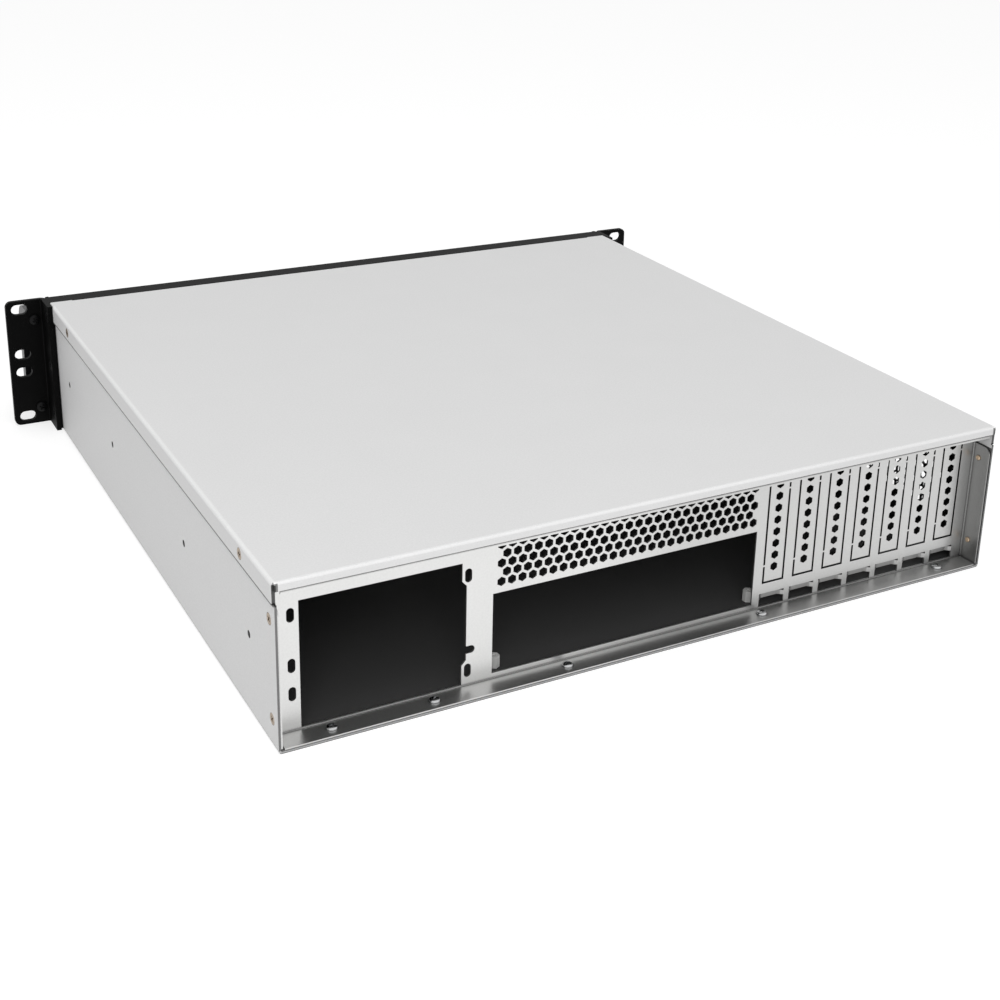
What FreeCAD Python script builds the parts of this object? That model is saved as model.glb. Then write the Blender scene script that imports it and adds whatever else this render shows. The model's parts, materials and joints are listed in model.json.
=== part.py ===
# Empty two-unit rackmount server case, in millimetres.
# X runs across the case, Y from the front plate to the rear edge, and Z up.
# The origin is the centre of the underside.
import FreeCAD, Part
import math
import os
import Sketcher

Vector = FreeCAD.Vector
Rotation = FreeCAD.Rotation

# Driving dimensions, each written once.
DRIVING = {
    # Outside of the case
    "case_width": 430.0,
    "case_depth": 450.0,
    "case_height": 88.1,
    "sheet_gauge": 1.0,
    "bend_outer": 1.5,
    "bend_inner": 0.5,
    "fit_clearance": 0.1,
    "hole_clearance": 0.1,
    # Top cover
    "skirt_height": 11.2,
    "lip_height": 4.4,
    "corner_relief": 1.3,
    "tongue_reach": 11.0,
    "tongue_side_gap": 5.0,
    # Tray
    "return_width": 9.0,
    "rail_hole_radius": 2.0,
    "rail_hole_height": 43.3,
    "rail_hole_first": 54.0,
    "rail_hole_second": 163.0,
    "rail_hole_third": 308.0,
    "rail_hole_fourth": 412.0,
    "side_vent_start": 337.0,
    "side_vent_columns": 13,
    "side_vent_base": 22.5,
    "side_vent_rows": 8,
    # Front frame
    "cap_depth": 14.0,
    "frame_side_depth": 22.5,
    "grille_slot_count": 18,
    "grille_slot_pitch": 10.0,
    "grille_slot_width": 5.0,
    "grille_slot_height": 60.0,
    "grille_centre_x": -110.0,
    "low_vent_count": 13,
    "low_vent_height": 22.0,
    "low_vent_centre_z": 23.0,
    # Drive cage and its bay
    "cage_width": 149.2,
    "cage_centre_x": 125.0,
    "cage_length": 148.0,
    "cage_height": 83.0,
    "bay_base": 41.0,
    "bay_height": 42.0,
    "bay_cover_gap": 0.3,
    "bay_cover_thickness": 3.0,
    "bay_cover_proud": 1.5,
    "bay_cover_corner": 1.0,
    "bay_tab_reach": 12.0,
    "bay_tab_height": 20.0,
    "bay_tab_thickness": 1.6,
    "cage_slot_length": 10.0,
    "cage_slot_width": 3.6,
    "cage_screw_spread": 124.0,
    "cage_screw_inset": 15.0,
    "drive_slot_front": 30.0,
    "drive_slot_rear": 110.0,
    "drive_slot_low_z": 20.0,
    "drive_slot_high_z": 62.0,
    # Fan wall
    "fan_wall_y": -118.0,
    "fan_wall_height": 82.0,
    "fan_wall_foot": 13.0,
    "fan_opening_radius": 38.0,
    "fan_hole_pitch": 71.5,
    "fan_hole_radius": 2.2,
    "fan_pitch": 85.0,
    # Power supply bracket
    "psu_bracket_width": 96.0,
    "psu_bracket_depth": 16.0,
    "psu_bracket_height": 22.0,
    "psu_bracket_y": 10.0,
    # Rack ears
    "rack_width": 482.6,
    "ear_gauge": 3.0,
    "ear_return": 23.0,
    "ear_corner": 4.0,
    "ear_bend_inner": 1.0,
    "slot_columns": 465.1,
    "outer_slot_rows": 76.2,
    "inner_slot_rows": 12.7,
    "ear_slot_length": 10.5,
    "ear_slot_width": 7.0,
    # Front handles
    "handle_centre_x": 223.2,
    "handle_low_z": 11.5,
    "handle_spacing": 62.6,
    "handle_bar": 8.0,
    "handle_reach": 31.0,
    "handle_corner": 14.0,
    # Rear panel
    "panel_recess": 12.8,
    "panel_foot_inset": 0.5,
    "panel_bend": 1.0,
    "panel_hem": 2.0,
    "flange_base": 2.3,
    "flange_top": 74.4,
    "flange_corner": 4.0,
    "io_left": 98.2,
    "io_width": 158.75,
    "io_base": 5.0,
    "io_height": 44.45,
    "hex_flats": 4.5,
    "hex_pitch": 5.81,
    "vent_columns": 27,
    "vent_rows": 5,
    "vent_base": 55.3,
    "vent_inset": 4.5,
    "psu_outer": 198.3,
    "psu_inner": 115.0,
    "psu_step": 2.4,
    "psu_base": 2.7,
    "psu_top": 69.8,
    "psu_step_low": 13.6,
    "psu_step_high": 59.9,
    "psu_step_rise": 2.6,
    "psu_notch_z": 21.8,
    "psu_notch_radius": 2.1,
    "psu_notch_depth": 2.6,
    "psu_slot_length": 7.4,
    "psu_slot_width": 3.8,
    "psu_outer_slots_x": 202.3,
    "psu_inner_slots_x": 111.7,
    "psu_slot_top_z": 63.1,
    "psu_slot_mid_z": 36.7,
    "psu_slot_low_z": 21.7,
    "psu_inner_slot_top_z": 62.7,
    "psu_inner_slot_low_z": 10.3,
    # Card slots
    "card_count": 7,
    "card_pitch": 20.32,
    "card_cover_left": -67.7,
    "card_cover_width": 12.1,
    "card_cover_base": 17.7,
    "card_cover_top": 79.0,
    "card_slit": 1.2,
    "card_joint": 1.0,
    "card_joint_low": 27.3,
    "card_joint_high": 71.5,
    "card_hex_base": 25.9,
    "card_hex_pitch": 7.0,
    "card_hex_count": 8,
    "pocket_left": -65.3,
    "pocket_width": 16.8,
    "pocket_base": 2.7,
    "pocket_top": 10.5,
    "strap_gap": 1.15,
    "strap_height": 2.7,
    "strap_depth": 2.2,
    "strap_ramp": 3.0,
    # Board supports
    "board_rear_inset": 11.5,
    "board_mid_spacing": 154.94,
    "board_front_spacing": 72.39,
    "board_first_x": 91.0,
    "board_second_spacing": 157.48,
    "board_third_spacing": 124.46,
    "standoff_height": 6.5,
    "standoff_flats": 5.0,
    "standoff_bore": 1.25,
    # Screws
    "small_shank": 1.5,
    "small_head": 2.8,
    "small_head_height": 1.8,
    "sunk_head": 3.0,
    "sunk_length": 6.0,
    "floor_shank_length": 1.9,
    "large_shank": 2.0,
    "large_head": 3.6,
    "large_head_height": 2.4,
    "large_sunk_head": 3.8,
    "large_sunk_length": 9.0,
    "handle_screw_length": 12.0,
    "cover_screw_front": 63.4,
    "cover_screw_rear": 44.7,
    "rear_screw_inset": 8.4,
    "rear_screw_top": 66.4,
    "rear_screw_low": 14.2,
    "floor_screw_inset": 7.0,
    "floor_screw_first": 185.4,
    "floor_screw_second": 132.2,
    "floor_screw_third": 57.8,
    "floor_screw_fourth": -63.5,
    "floor_screw_fifth": -188.4,
    "ear_screw_inset": 18.0,
    "ear_screw_low": 11.5,
    "ear_screw_pitch": 34.0,
    # Front controls
    "control_centre_x": 22.0,
    "button_z": 60.0,
    "power_x": 13.0,
    "power_radius": 6.0,
    "power_travel": 2.5,
    "reset_x": 33.0,
    "reset_radius": 2.5,
    "reset_travel": 1.5,
    "button_proud": 2.5,
    "button_edge": 0.8,
    "button_gap": 0.3,
    "collar_width": 1.4,
    "collar_thickness": 1.2,
    "lens_radius": 1.5,
    "lens_proud": 0.6,
    "lens_z": 40.0,
    "lens_spacing": 14.0,
    "carrier_width": 46.0,
    "carrier_height": 46.0,
    "carrier_depth": 15.0,
    "carrier_wall": 2.0,
    "carrier_block": 8.0,
    "board_thickness": 1.6,
    "switch_size": 6.0,
    "switch_height": 2.4,
}

document = FreeCAD.newDocument("RackCase")
sheet = document.addObject("Spreadsheet::Sheet", "Sizes")
for row, (alias, number) in enumerate(DRIVING.items(), start=1):
    sheet.set(f"A{row}", alias)
    sheet.set(f"B{row}", str(number))
    sheet.setAlias(f"B{row}", alias)
document.recompute()


class Size:
    """A length in the sheet's terms, with the value that it has now."""

    def __init__(self, text, value):
        self.text = text
        self.value = value

    def combined(self, sign, other, value):
        return Size(f"({self.text} {sign} {as_size(other).text})", value)

    def __add__(self, other):
        return self.combined("+", other, self.value + as_size(other).value)

    def __sub__(self, other):
        return self.combined("-", other, self.value - as_size(other).value)

    def __mul__(self, other):
        return self.combined("*", other, self.value * as_size(other).value)

    def __truediv__(self, other):
        return self.combined("/", other, self.value / as_size(other).value)

    def __neg__(self):
        return Size(f"(0 - {self.text})", -self.value)


def as_size(number):
    """A plain number as a Size, and a Size as it is."""
    return number if isinstance(number, Size) else Size(repr(float(number)), float(number))


def cell(alias):
    """The Size that a cell of the sheet holds."""
    return Size(f"Sizes.{alias}", float(sheet.get(alias)))


# Lines and planes that several pieces share
GAUGE = cell("sheet_gauge")
FIT = cell("fit_clearance")
BEND_OUT = cell("bend_outer")
BEND_IN = cell("bend_inner")
ZERO = as_size(0.0)
HALF_WIDTH = cell("case_width") / 2
SKIN = HALF_WIDTH - GAUGE
WALL_OUT = SKIN - FIT
WALL_IN = WALL_OUT - GAUGE
FRONT = -(cell("case_depth") / 2)
REAR = cell("case_depth") / 2
PLATE_BACK = FRONT + GAUGE
TOP = cell("case_height")
TOP_IN = TOP - GAUGE
WALL_TOP = TOP_IN - FIT
SKIRT_BASE = TOP - cell("skirt_height")
LIP_BASE = TOP - cell("lip_height")
CAP_BACK = FRONT + cell("cap_depth")
SIDE_BACK = FRONT + cell("frame_side_depth")
EAR_FACE = HALF_WIDTH + cell("ear_gauge")
EAR_BACK = FRONT + cell("ear_gauge")
PANEL_BACK = REAR - cell("panel_recess")
PANEL_FRONT = PANEL_BACK - GAUGE
CAGE_RIGHT = cell("cage_centre_x") + cell("cage_width") / 2
CAGE_LEFT = cell("cage_centre_x") - cell("cage_width") / 2
CAGE_BACK = CAP_BACK + cell("cage_length")
FLOOR_SEAT = GAUGE * 2
FLOOR_SIDE = WALL_IN - BEND_IN - FIT
SIDES = (1, -1)


def on_side(side, low, high):
    """The limits low and high, on the side that the sign gives."""
    return (low, high) if side > 0 else (-high, -low)


class Body:
    """One folded, moulded or turned piece, padded and pocketed from sketches."""

    NORMALS = {"XY_Plane": 1, "XZ_Plane": -1, "YZ_Plane": 1}

    def __init__(self, name):
        self.name = name
        self.steps = 0
        self.body = document.addObject("PartDesign::Body", name)
        self.body.Label = name

    def origin(self, role):
        """The origin feature of this body with the given role."""
        for feature in self.body.Origin.OriginFeatures:
            if feature.Role == role:
                return feature
        raise ValueError(role)

    def sketch(self, plane, shapes, level):
        """A sketch of the shapes on a plane, moved to a level along its axis."""
        self.steps += 1
        drawing = self.body.newObject("Sketcher::SketchObject", f"{self.name}_sketch_{self.steps}")
        drawing.AttachmentSupport = [(self.origin(plane), "")]
        drawing.MapMode = "FlatFace"
        offset = level if self.NORMALS[plane] > 0 else -level
        drawing.setExpression("AttachmentOffset.Base.z", offset.text)
        for shape in shapes:
            shape.draw(drawing)
        return drawing

    def feature(self, kind, drawing, length, backwards):
        """A pad or pocket of a sketch, with its length bound to the sheet."""
        made = self.body.newObject(kind, f"{self.name}_step_{self.steps}")
        made.Profile = drawing
        made.Type = "Length"
        made.setExpression("Length", length.text)
        made.Reversed = backwards
        self.body.Tip = made
        drawing.Visibility = False
        return made

    def add(self, plane, shapes, low, high):
        """Material between two levels along the plane's axis."""
        low, high = as_size(low), as_size(high)
        start = low if self.NORMALS[plane] > 0 else high
        return self.feature("PartDesign::Pad", self.sketch(plane, shapes, start), high - low, False)

    def cut(self, plane, shapes, low, high):
        """A cut between two levels along the plane's axis."""
        low, high = as_size(low), as_size(high)
        start = high if self.NORMALS[plane] > 0 else low
        return self.feature("PartDesign::Pocket", self.sketch(plane, shapes, start), high - low, False)

    def repeat(self, features, pitch, copies):
        """Copies of the features in a row across the case."""
        row = self.body.newObject("PartDesign::LinearPattern", f"{self.name}_row_{self.steps}")
        row.Originals = features
        row.Direction = (self.origin("X_Axis"), [""])
        row.Reversed = pitch.value < 0
        length = (-pitch if pitch.value < 0 else pitch) * (copies - 1)
        row.setExpression("Length", length.text)
        row.setExpression("Occurrences", copies.text)
        self.body.Tip = row

    def turn(self, profile, x, z):
        """A turned form about the line along Y through x and z."""
        self.steps += 1
        drawing = self.body.newObject("Sketcher::SketchObject", f"{self.name}_sketch_{self.steps}")
        drawing.AttachmentSupport = [(self.origin("XY_Plane"), "")]
        drawing.MapMode = "FlatFace"
        drawing.setExpression("AttachmentOffset.Base.x", x.text)
        drawing.setExpression("AttachmentOffset.Base.z", z.text)
        profile.draw(drawing)
        made = self.body.newObject("PartDesign::Revolution", f"{self.name}_step_{self.steps}")
        made.Profile = drawing
        made.ReferenceAxis = (drawing, ["V_Axis"])
        made.Angle = 360.0
        self.body.Tip = made
        drawing.Visibility = False

    def round_edges(self, axis, places, radius):
        """Rounds the straight edges along an axis that pass through the places."""
        document.recompute()
        base = self.body.Tip
        names = []
        for number, edge in enumerate(base.Shape.Edges, start=1):
            if runs_along(edge, axis) and any(passes(edge, axis, place) for place in places):
                names.append(f"Edge{number}")
        self.steps += 1
        rounded = self.body.newObject("PartDesign::Fillet", f"{self.name}_step_{self.steps}")
        rounded.Base = (base, names)
        rounded.setExpression("Radius", radius.text)
        self.body.Tip = rounded


def runs_along(edge, axis):
    """True where an edge is a straight line along the axis with this number."""
    if not isinstance(edge.Curve, Part.Line):
        return False
    return abs(abs(edge.Curve.Direction[axis]) - 1.0) < 1e-6


def passes(edge, axis, place):
    """True where an edge along an axis passes through a place across it."""
    point = edge.Vertexes[0].Point
    across = [point[number] for number in range(3) if number != axis]
    return all(abs(have - want.value) < 1e-4 for have, want in zip(across, place))


def tie(drawing, constraint, size):
    """Adds a constraint whose value follows a size."""
    number = drawing.addConstraint(constraint)
    drawing.setExpression(f"Constraints[{number}]", size.text)


def pin_point(drawing, geometry, end, across, up):
    """Ties one point of a sketch to its two sizes."""
    tie(drawing, Sketcher.Constraint("DistanceX", geometry, end, across.value), across)
    tie(drawing, Sketcher.Constraint("DistanceY", geometry, end, up.value), up)


class Outline:
    """A closed outline of straight runs, with square corners rounded where a radius is given."""

    def __init__(self, *corners):
        self.corners = [tuple(map(as_size, corner)) for corner in corners]

    def draw(self, drawing):
        total = len(self.corners)
        runs = []
        for number, corner in enumerate(self.corners):
            before = self.corners[number - 1]
            after = self.corners[(number + 1) % total]
            runs.append(corner_points(before, corner, after))
        for number, (_, leave, _) in enumerate(runs):
            enter = runs[(number + 1) % total][0]
            start = Vector(leave[0].value, leave[1].value, 0)
            end = Vector(enter[0].value, enter[1].value, 0)
            line = drawing.addGeometry(Part.LineSegment(start, end), False)
            pin_point(drawing, line, 1, *leave)
            pin_point(drawing, line, 2, *enter)
        for enter, leave, centre in runs:
            if centre is not None:
                draw_corner(drawing, enter, leave, centre)


def corner_points(before, corner, after):
    """Where the outline enters and leaves a corner, and the centre of its rounding."""
    place = corner[:2]
    if len(corner) < 3:
        return place, place, None
    radius = corner[2]
    enter = stepped(place, before, radius)
    leave = stepped(place, after, radius)
    centre = tuple(e + (q - p) for p, e, q in zip(place, enter, leave))
    return enter, leave, centre


def stepped(place, towards, radius):
    """A point one radius from a corner, along a square run towards the next corner."""
    across = towards[0].value - place[0].value
    up = towards[1].value - place[1].value
    if abs(across) > abs(up):
        return (place[0] + radius * math.copysign(1, across), place[1])
    return (place[0], place[1] + radius * math.copysign(1, up))


def draw_corner(drawing, enter, leave, centre):
    """A quarter arc between two tied points."""
    middle = Vector(centre[0].value, centre[1].value, 0)
    first = Vector(enter[0].value, enter[1].value, 0) - middle
    last = Vector(leave[0].value, leave[1].value, 0) - middle
    if first.cross(last).z < 0:
        first, last, enter, leave = last, first, leave, enter
    circle = Part.Circle(middle, Vector(0, 0, 1), first.Length)
    start = math.atan2(first.y, first.x)
    end = math.atan2(last.y, last.x)
    if end < start:
        end += 2 * math.pi
    arc = drawing.addGeometry(Part.ArcOfCircle(circle, start, end), False)
    pin_point(drawing, arc, 3, *centre)
    pin_point(drawing, arc, 1, *enter)
    upright = abs(leave[0].value - centre[0].value) < 1e-9
    kind, size = ("DistanceX", leave[0]) if upright else ("DistanceY", leave[1])
    tie(drawing, Sketcher.Constraint(kind, arc, 2, size.value), size)


def rectangle(x_low, x_high, y_low, y_high, radius=None):
    """A rectangle between four limits, with equal corners."""
    extra = () if radius is None else (radius,)
    places = ((x_low, y_low), (x_high, y_low), (x_high, y_high), (x_low, y_high))
    return Outline(*(place + extra for place in places))


class Disc:
    """A round hole or boss."""

    def __init__(self, x, y, radius):
        self.x, self.y, self.radius = map(as_size, (x, y, radius))

    def draw(self, drawing):
        centre = Vector(self.x.value, self.y.value, 0)
        circle = Part.Circle(centre, Vector(0, 0, 1), self.radius.value)
        geometry = drawing.addGeometry(circle, False)
        pin_point(drawing, geometry, 3, self.x, self.y)
        tie(drawing, Sketcher.Constraint("Radius", geometry, self.radius.value), self.radius)


def hexagon(x, y, flats):
    """A hexagonal hole with a corner up."""
    half = flats / 2
    corner = flats / math.sqrt(3)
    places = ((ZERO, corner), (-half, corner / 2), (-half, -(corner / 2)))
    return Outline(*((x + a, y + b) for a, b in places), *((x - a, y - b) for a, b in places))


def slot(x, y, length, width, upright=False):
    """An oblong hole with round ends, centred on x and y."""
    half_long, half_wide = as_size(length) / 2, as_size(width) / 2
    x, y = as_size(x), as_size(y)
    if upright:
        return RoundSlot(x - half_wide, x + half_wide, y - half_long, y + half_long, True)
    return RoundSlot(x - half_long, x + half_long, y - half_wide, y + half_wide, False)


class RoundSlot:
    """An oblong whose two short ends are half circles."""

    def __init__(self, x_low, x_high, y_low, y_high, upright):
        self.limits = (x_low, x_high, y_low, y_high)
        self.upright = upright

    def draw(self, drawing):
        x_low, x_high, y_low, y_high = self.limits
        if self.upright:
            radius = (x_high - x_low) / 2
            low, high = y_low + radius, y_high - radius
            middle = x_low + radius
            self.side(drawing, (x_high, low), (x_high, high))
            self.side(drawing, (x_low, high), (x_low, low))
            self.end(drawing, (middle, high), radius, 0.0)
            self.end(drawing, (middle, low), radius, math.pi)
        else:
            radius = (y_high - y_low) / 2
            low, high = x_low + radius, x_high - radius
            middle = y_low + radius
            self.side(drawing, (low, y_low), (high, y_low))
            self.side(drawing, (high, y_high), (low, y_high))
            self.end(drawing, (high, middle), radius, -math.pi / 2)
            self.end(drawing, (low, middle), radius, math.pi / 2)

    def side(self, drawing, start, end):
        points = [Vector(place[0].value, place[1].value, 0) for place in (start, end)]
        line = drawing.addGeometry(Part.LineSegment(*points), False)
        pin_point(drawing, line, 1, *start)
        pin_point(drawing, line, 2, *end)

    def end(self, drawing, centre, radius, start):
        middle = Vector(centre[0].value, centre[1].value, 0)
        circle = Part.Circle(middle, Vector(0, 0, 1), radius.value)
        arc = drawing.addGeometry(Part.ArcOfCircle(circle, start, start + math.pi), False)
        pin_point(drawing, arc, 3, *centre)
        tie(drawing, Sketcher.Constraint("Radius", arc, radius.value), radius)
        kind, size = ("DistanceY", centre[1]) if self.upright else ("DistanceX", centre[0])
        for point in (1, 2):
            tie(drawing, Sketcher.Constraint(kind, arc, point, size.value), size)


def turned_to(direction):
    """The turn that takes the upward direction to another one."""
    return Rotation(Vector(0, 0, 1), Vector(*direction))


def primitive(kind, name, sizes, place, direction):
    """A round primitive whose base is centred on a place and points in a direction."""
    solid = document.addObject(kind, name)
    for alias, size in sizes.items():
        solid.setExpression(alias, size.text)
    base = Vector(*(size.value for size in place))
    solid.Placement = FreeCAD.Placement(base, turned_to(direction))
    for axis, size in zip("xyz", place):
        solid.setExpression(f"Placement.Base.{axis}", size.text)
    return solid


def sunk_screw(name, place, direction, head, shank, length):
    """A countersunk screw with the middle of its head at a place, driven in a direction."""
    cone = {"Radius1": head, "Radius2": shank, "Height": head - shank}
    parts = [
        primitive("Part::Cone", f"{name}_head", cone, place, direction),
        primitive("Part::Cylinder", f"{name}_shank", {"Radius": shank, "Height": length}, place, direction),
    ]
    screw = document.addObject("Part::MultiFuse", name)
    screw.Shapes = parts
    return screw


def group(name, solids):
    """Several like pieces kept together."""
    together = document.addObject("Part::Compound", name)
    together.Label = name
    together.Links = solids
    return together


def sunk_screws(name, places, head, shank, length):
    """A group of countersunk screws, and the holes that they sit in."""
    gap = cell("hole_clearance")
    screws, holes = [], []
    for number, (place, direction) in enumerate(places, start=1):
        screws.append(sunk_screw(f"{name}_{number}", place, direction, head, shank, length))
        holes.append(
            sunk_screw(f"{name}_hole_{number}", place, direction, head + gap, shank + gap, length + gap)
        )
    return group(name, screws), group(f"{name}_holes", holes)


def less(name, piece, holes):
    """A piece with holes taken out of it."""
    result = document.addObject("Part::Cut", name)
    result.Label = name
    result.Base = piece.body
    result.Tool = holes[0] if len(holes) == 1 else group(f"{name}_holes", holes)
    return result


def upright_screws(name, places, seat, base, shank):
    """Pan-head screws that stand on a floor, with their shanks through it."""
    screws = Body(name)
    head = [Disc(x, y, cell("small_head")) for x, y in places]
    screws.add("XY_Plane", head, seat, seat + cell("small_head_height"))
    screws.add("XY_Plane", [Disc(x, y, shank) for x, y in places], base, seat)
    return screws


# Screws through the side walls
def side_places(x, y, z):
    """The same point on both side walls, each with its direction inwards."""
    return [((x * side, y, z), (-side, 0, 0)) for side in SIDES]


cover_screw_z = TOP - cell("skirt_height") / 2
cover_places = []
for screw_y in (FRONT + cell("cover_screw_front"), REAR - cell("cover_screw_rear")):
    cover_places += side_places(HALF_WIDTH, screw_y, cover_screw_z)
cover_screws, cover_holes = sunk_screws(
    "cover_screws", cover_places, cell("sunk_head"), cell("small_shank"), cell("sunk_length")
)

rear_places = []
for screw_z in (cell("rear_screw_top"), cell("rear_screw_low")):
    rear_places += side_places(WALL_OUT, REAR - cell("rear_screw_inset"), screw_z)
rear_side_screws, rear_holes = sunk_screws(
    "rear_side_screws", rear_places, cell("sunk_head"), cell("small_shank"), cell("sunk_length")
)

ear_places = []
for step in range(3):
    screw_z = cell("ear_screw_low") + cell("ear_screw_pitch") * step
    ear_places += side_places(EAR_FACE, FRONT + cell("ear_screw_inset"), screw_z)
ear_screws, ear_holes = sunk_screws(
    "ear_screws", ear_places, cell("large_sunk_head"), cell("large_shank"), cell("large_sunk_length")
)

# Screws and supports on the floor
floor_places = [
    (cell(f"floor_screw_{order}"), REAR - cell("floor_screw_inset"))
    for order in ("first", "second", "third", "fourth", "fifth")
]
cage_places = [
    (cell("cage_centre_x") + cell("cage_screw_spread") / 2 * side, y)
    for side in SIDES
    for y in (CAP_BACK + cell("cage_screw_inset"), CAGE_BACK - cell("cage_screw_inset"))
]
fan_wall_left = -FLOOR_SIDE
fan_wall_right = CAGE_LEFT - FIT
fan_wall_centre = (fan_wall_left + fan_wall_right) / 2
fan_foot_y = cell("fan_wall_y") + (cell("fan_wall_foot") + GAUGE) / 2
fan_places = [(fan_wall_centre + cell("fan_pitch") * step, fan_foot_y) for step in (-1, 0, 1)]
psu_centre = (cell("psu_outer") + cell("psu_inner")) / 2
psu_foot_y = cell("psu_bracket_y") + (cell("psu_bracket_depth") - GAUGE) / 2
psu_places = [(psu_centre + cell("psu_bracket_width") / 3 * side, psu_foot_y) for side in SIDES]

board_rows = [PANEL_BACK - cell("board_rear_inset")]
board_rows.append(board_rows[0] - cell("board_mid_spacing"))
board_rows.append(board_rows[1] - cell("board_front_spacing"))
board_columns = [cell("board_first_x")]
board_columns.append(board_columns[0] - cell("board_second_spacing"))
board_columns.append(board_columns[1] - cell("board_third_spacing"))
board_places = [(x, y) for y in board_rows for x in board_columns]

shank = cell("small_shank")
shank_base = FLOOR_SEAT - cell("floor_shank_length")
floor_screws = upright_screws("floor_screws", floor_places, FLOOR_SEAT, shank_base, shank)
drive_cage_screws = upright_screws("drive_cage_screws", cage_places, FLOOR_SEAT, shank_base, shank)
fan_wall_screws = upright_screws("fan_wall_screws", fan_places, FLOOR_SEAT, shank_base, shank)
psu_bracket_screws = upright_screws("psu_bracket_screws", psu_places, FLOOR_SEAT, shank_base, shank)

board_standoffs = Body("board_standoffs")
standoff_shapes = []
for x, y in board_places:
    standoff_shapes += [hexagon(x, y, cell("standoff_flats")), Disc(x, y, cell("standoff_bore"))]
board_standoffs.add("XY_Plane", standoff_shapes, GAUGE, GAUGE + cell("standoff_height"))


def holes_for(places, radius):
    """Clearance holes for shanks at the places."""
    return [Disc(x, y, radius + cell("hole_clearance")) for x, y in places]


# Tray: floor, side walls and the inward returns that carry the cover
tray = Body("base_tray_sheet")
return_in = WALL_OUT - cell("return_width")
return_base = WALL_TOP - GAUGE
tray.add("XZ_Plane", [Outline(
    (-WALL_OUT, ZERO, BEND_OUT), (WALL_OUT, ZERO, BEND_OUT),
    (WALL_OUT, WALL_TOP, BEND_OUT), (return_in, WALL_TOP),
    (return_in, return_base), (WALL_IN, return_base, BEND_IN),
    (WALL_IN, GAUGE, BEND_IN), (-WALL_IN, GAUGE, BEND_IN),
    (-WALL_IN, return_base, BEND_IN), (-return_in, return_base),
    (-return_in, WALL_TOP), (-WALL_OUT, WALL_TOP, BEND_OUT),
)], FRONT, REAR)
# The walls stop behind the front plate's bends, and the returns stop before the rear panel
tray.cut("YZ_Plane", [rectangle(FRONT, PLATE_BACK + BEND_IN, GAUGE, TOP)], -HALF_WIDTH, HALF_WIDTH)
tray.cut("YZ_Plane", [rectangle(
    PANEL_FRONT - cell("return_width"), REAR, SKIRT_BASE, TOP
)], -WALL_IN, WALL_IN)
tray.cut("YZ_Plane", [rectangle(REAR - cell("corner_relief"), REAR, SKIRT_BASE, TOP)],
         -HALF_WIDTH, HALF_WIDTH)
rail_holes = [
    Disc(FRONT + cell(f"rail_hole_{order}"), cell("rail_hole_height"), cell("rail_hole_radius"))
    for order in ("first", "second", "third", "fourth")
]
tray.cut("YZ_Plane", rail_holes, -WALL_OUT, WALL_OUT)
tray.cut("XY_Plane", holes_for(floor_places + cage_places + fan_places + psu_places, shank), ZERO, GAUGE)

# Hexagonal perforations, cut from the finished sheets in one go
hex_rise = cell("hex_pitch") * math.sqrt(3) / 2


def hex_prism(middle, across, through):
    """A hexagonal prism with a corner up, from its middle on a sheet to the sheet's other face."""
    reach = cell("hex_flats").value / math.sqrt(3)
    corners = []
    for step in range(6):
        angle = math.radians(30 + 60 * step)
        rise = Vector(0, 0, reach * math.sin(angle))
        corners.append(middle + across * (reach * math.cos(angle)) + rise)
    return Part.Face(Part.makePolygon(corners + corners[:1])).extrude(through)


def hex_field(name, prisms):
    """The perforations of one sheet as a single tool."""
    field = document.addObject("Part::Feature", name)
    field.Shape = Part.makeCompound(prisms)
    return field


def staggered(columns, rows):
    """Column and row steps of a field whose every second row is one hole shorter."""
    for row_number in range(int(rows.value)):
        odd = row_number % 2
        for column in range(int(columns.value) - odd):
            yield column + odd / 2, row_number


side_vent = hex_field("side_vent", [
    hex_prism(
        Vector(
            -WALL_OUT.value,
            (FRONT + cell("side_vent_start") + cell("hex_pitch") * column).value,
            (cell("side_vent_base") + hex_rise * row_number).value,
        ),
        Vector(0, 1, 0), Vector(GAUGE.value, 0, 0),
    )
    for column, row_number in staggered(cell("side_vent_columns"), cell("side_vent_rows"))
])
base_tray = less("base_tray", tray, [side_vent, cover_holes, rear_holes, ear_holes])

# Top cover: a lid with two skirts, a rear lip and a stepped tongue under the front cap
cover = Body("top_cover_sheet")
cover_rear = REAR - cell("corner_relief")
cover.add("XZ_Plane", [Outline(
    (-HALF_WIDTH, SKIRT_BASE), (-SKIN, SKIRT_BASE), (-SKIN, TOP_IN, BEND_IN), (SKIN, TOP_IN, BEND_IN),
    (SKIN, SKIRT_BASE), (HALF_WIDTH, SKIRT_BASE), (HALF_WIDTH, TOP, BEND_OUT),
    (-HALF_WIDTH, TOP, BEND_OUT),
)], CAP_BACK, cover_rear)
cover.cut("YZ_Plane", [rectangle(CAP_BACK, SIDE_BACK + FIT, SKIRT_BASE, TOP_IN)], -HALF_WIDTH, HALF_WIDTH)
lip_side = HALF_WIDTH - cell("corner_relief")
cover.add("YZ_Plane", [Outline(
    (cover_rear - GAUGE, TOP_IN), (REAR - GAUGE, TOP_IN, BEND_IN), (REAR - GAUGE, LIP_BASE),
    (REAR, LIP_BASE), (REAR, TOP, BEND_OUT), (cover_rear - GAUGE, TOP),
)], -lip_side, lip_side)
tongue_top = TOP_IN - FIT
tongue_base = tongue_top - GAUGE
tongue_side = return_in - cell("tongue_side_gap")
step_back = CAP_BACK + GAUGE * 2
cover.cut("YZ_Plane", [rectangle(CAP_BACK, step_back, TOP_IN, TOP)], -tongue_side, tongue_side)
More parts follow.
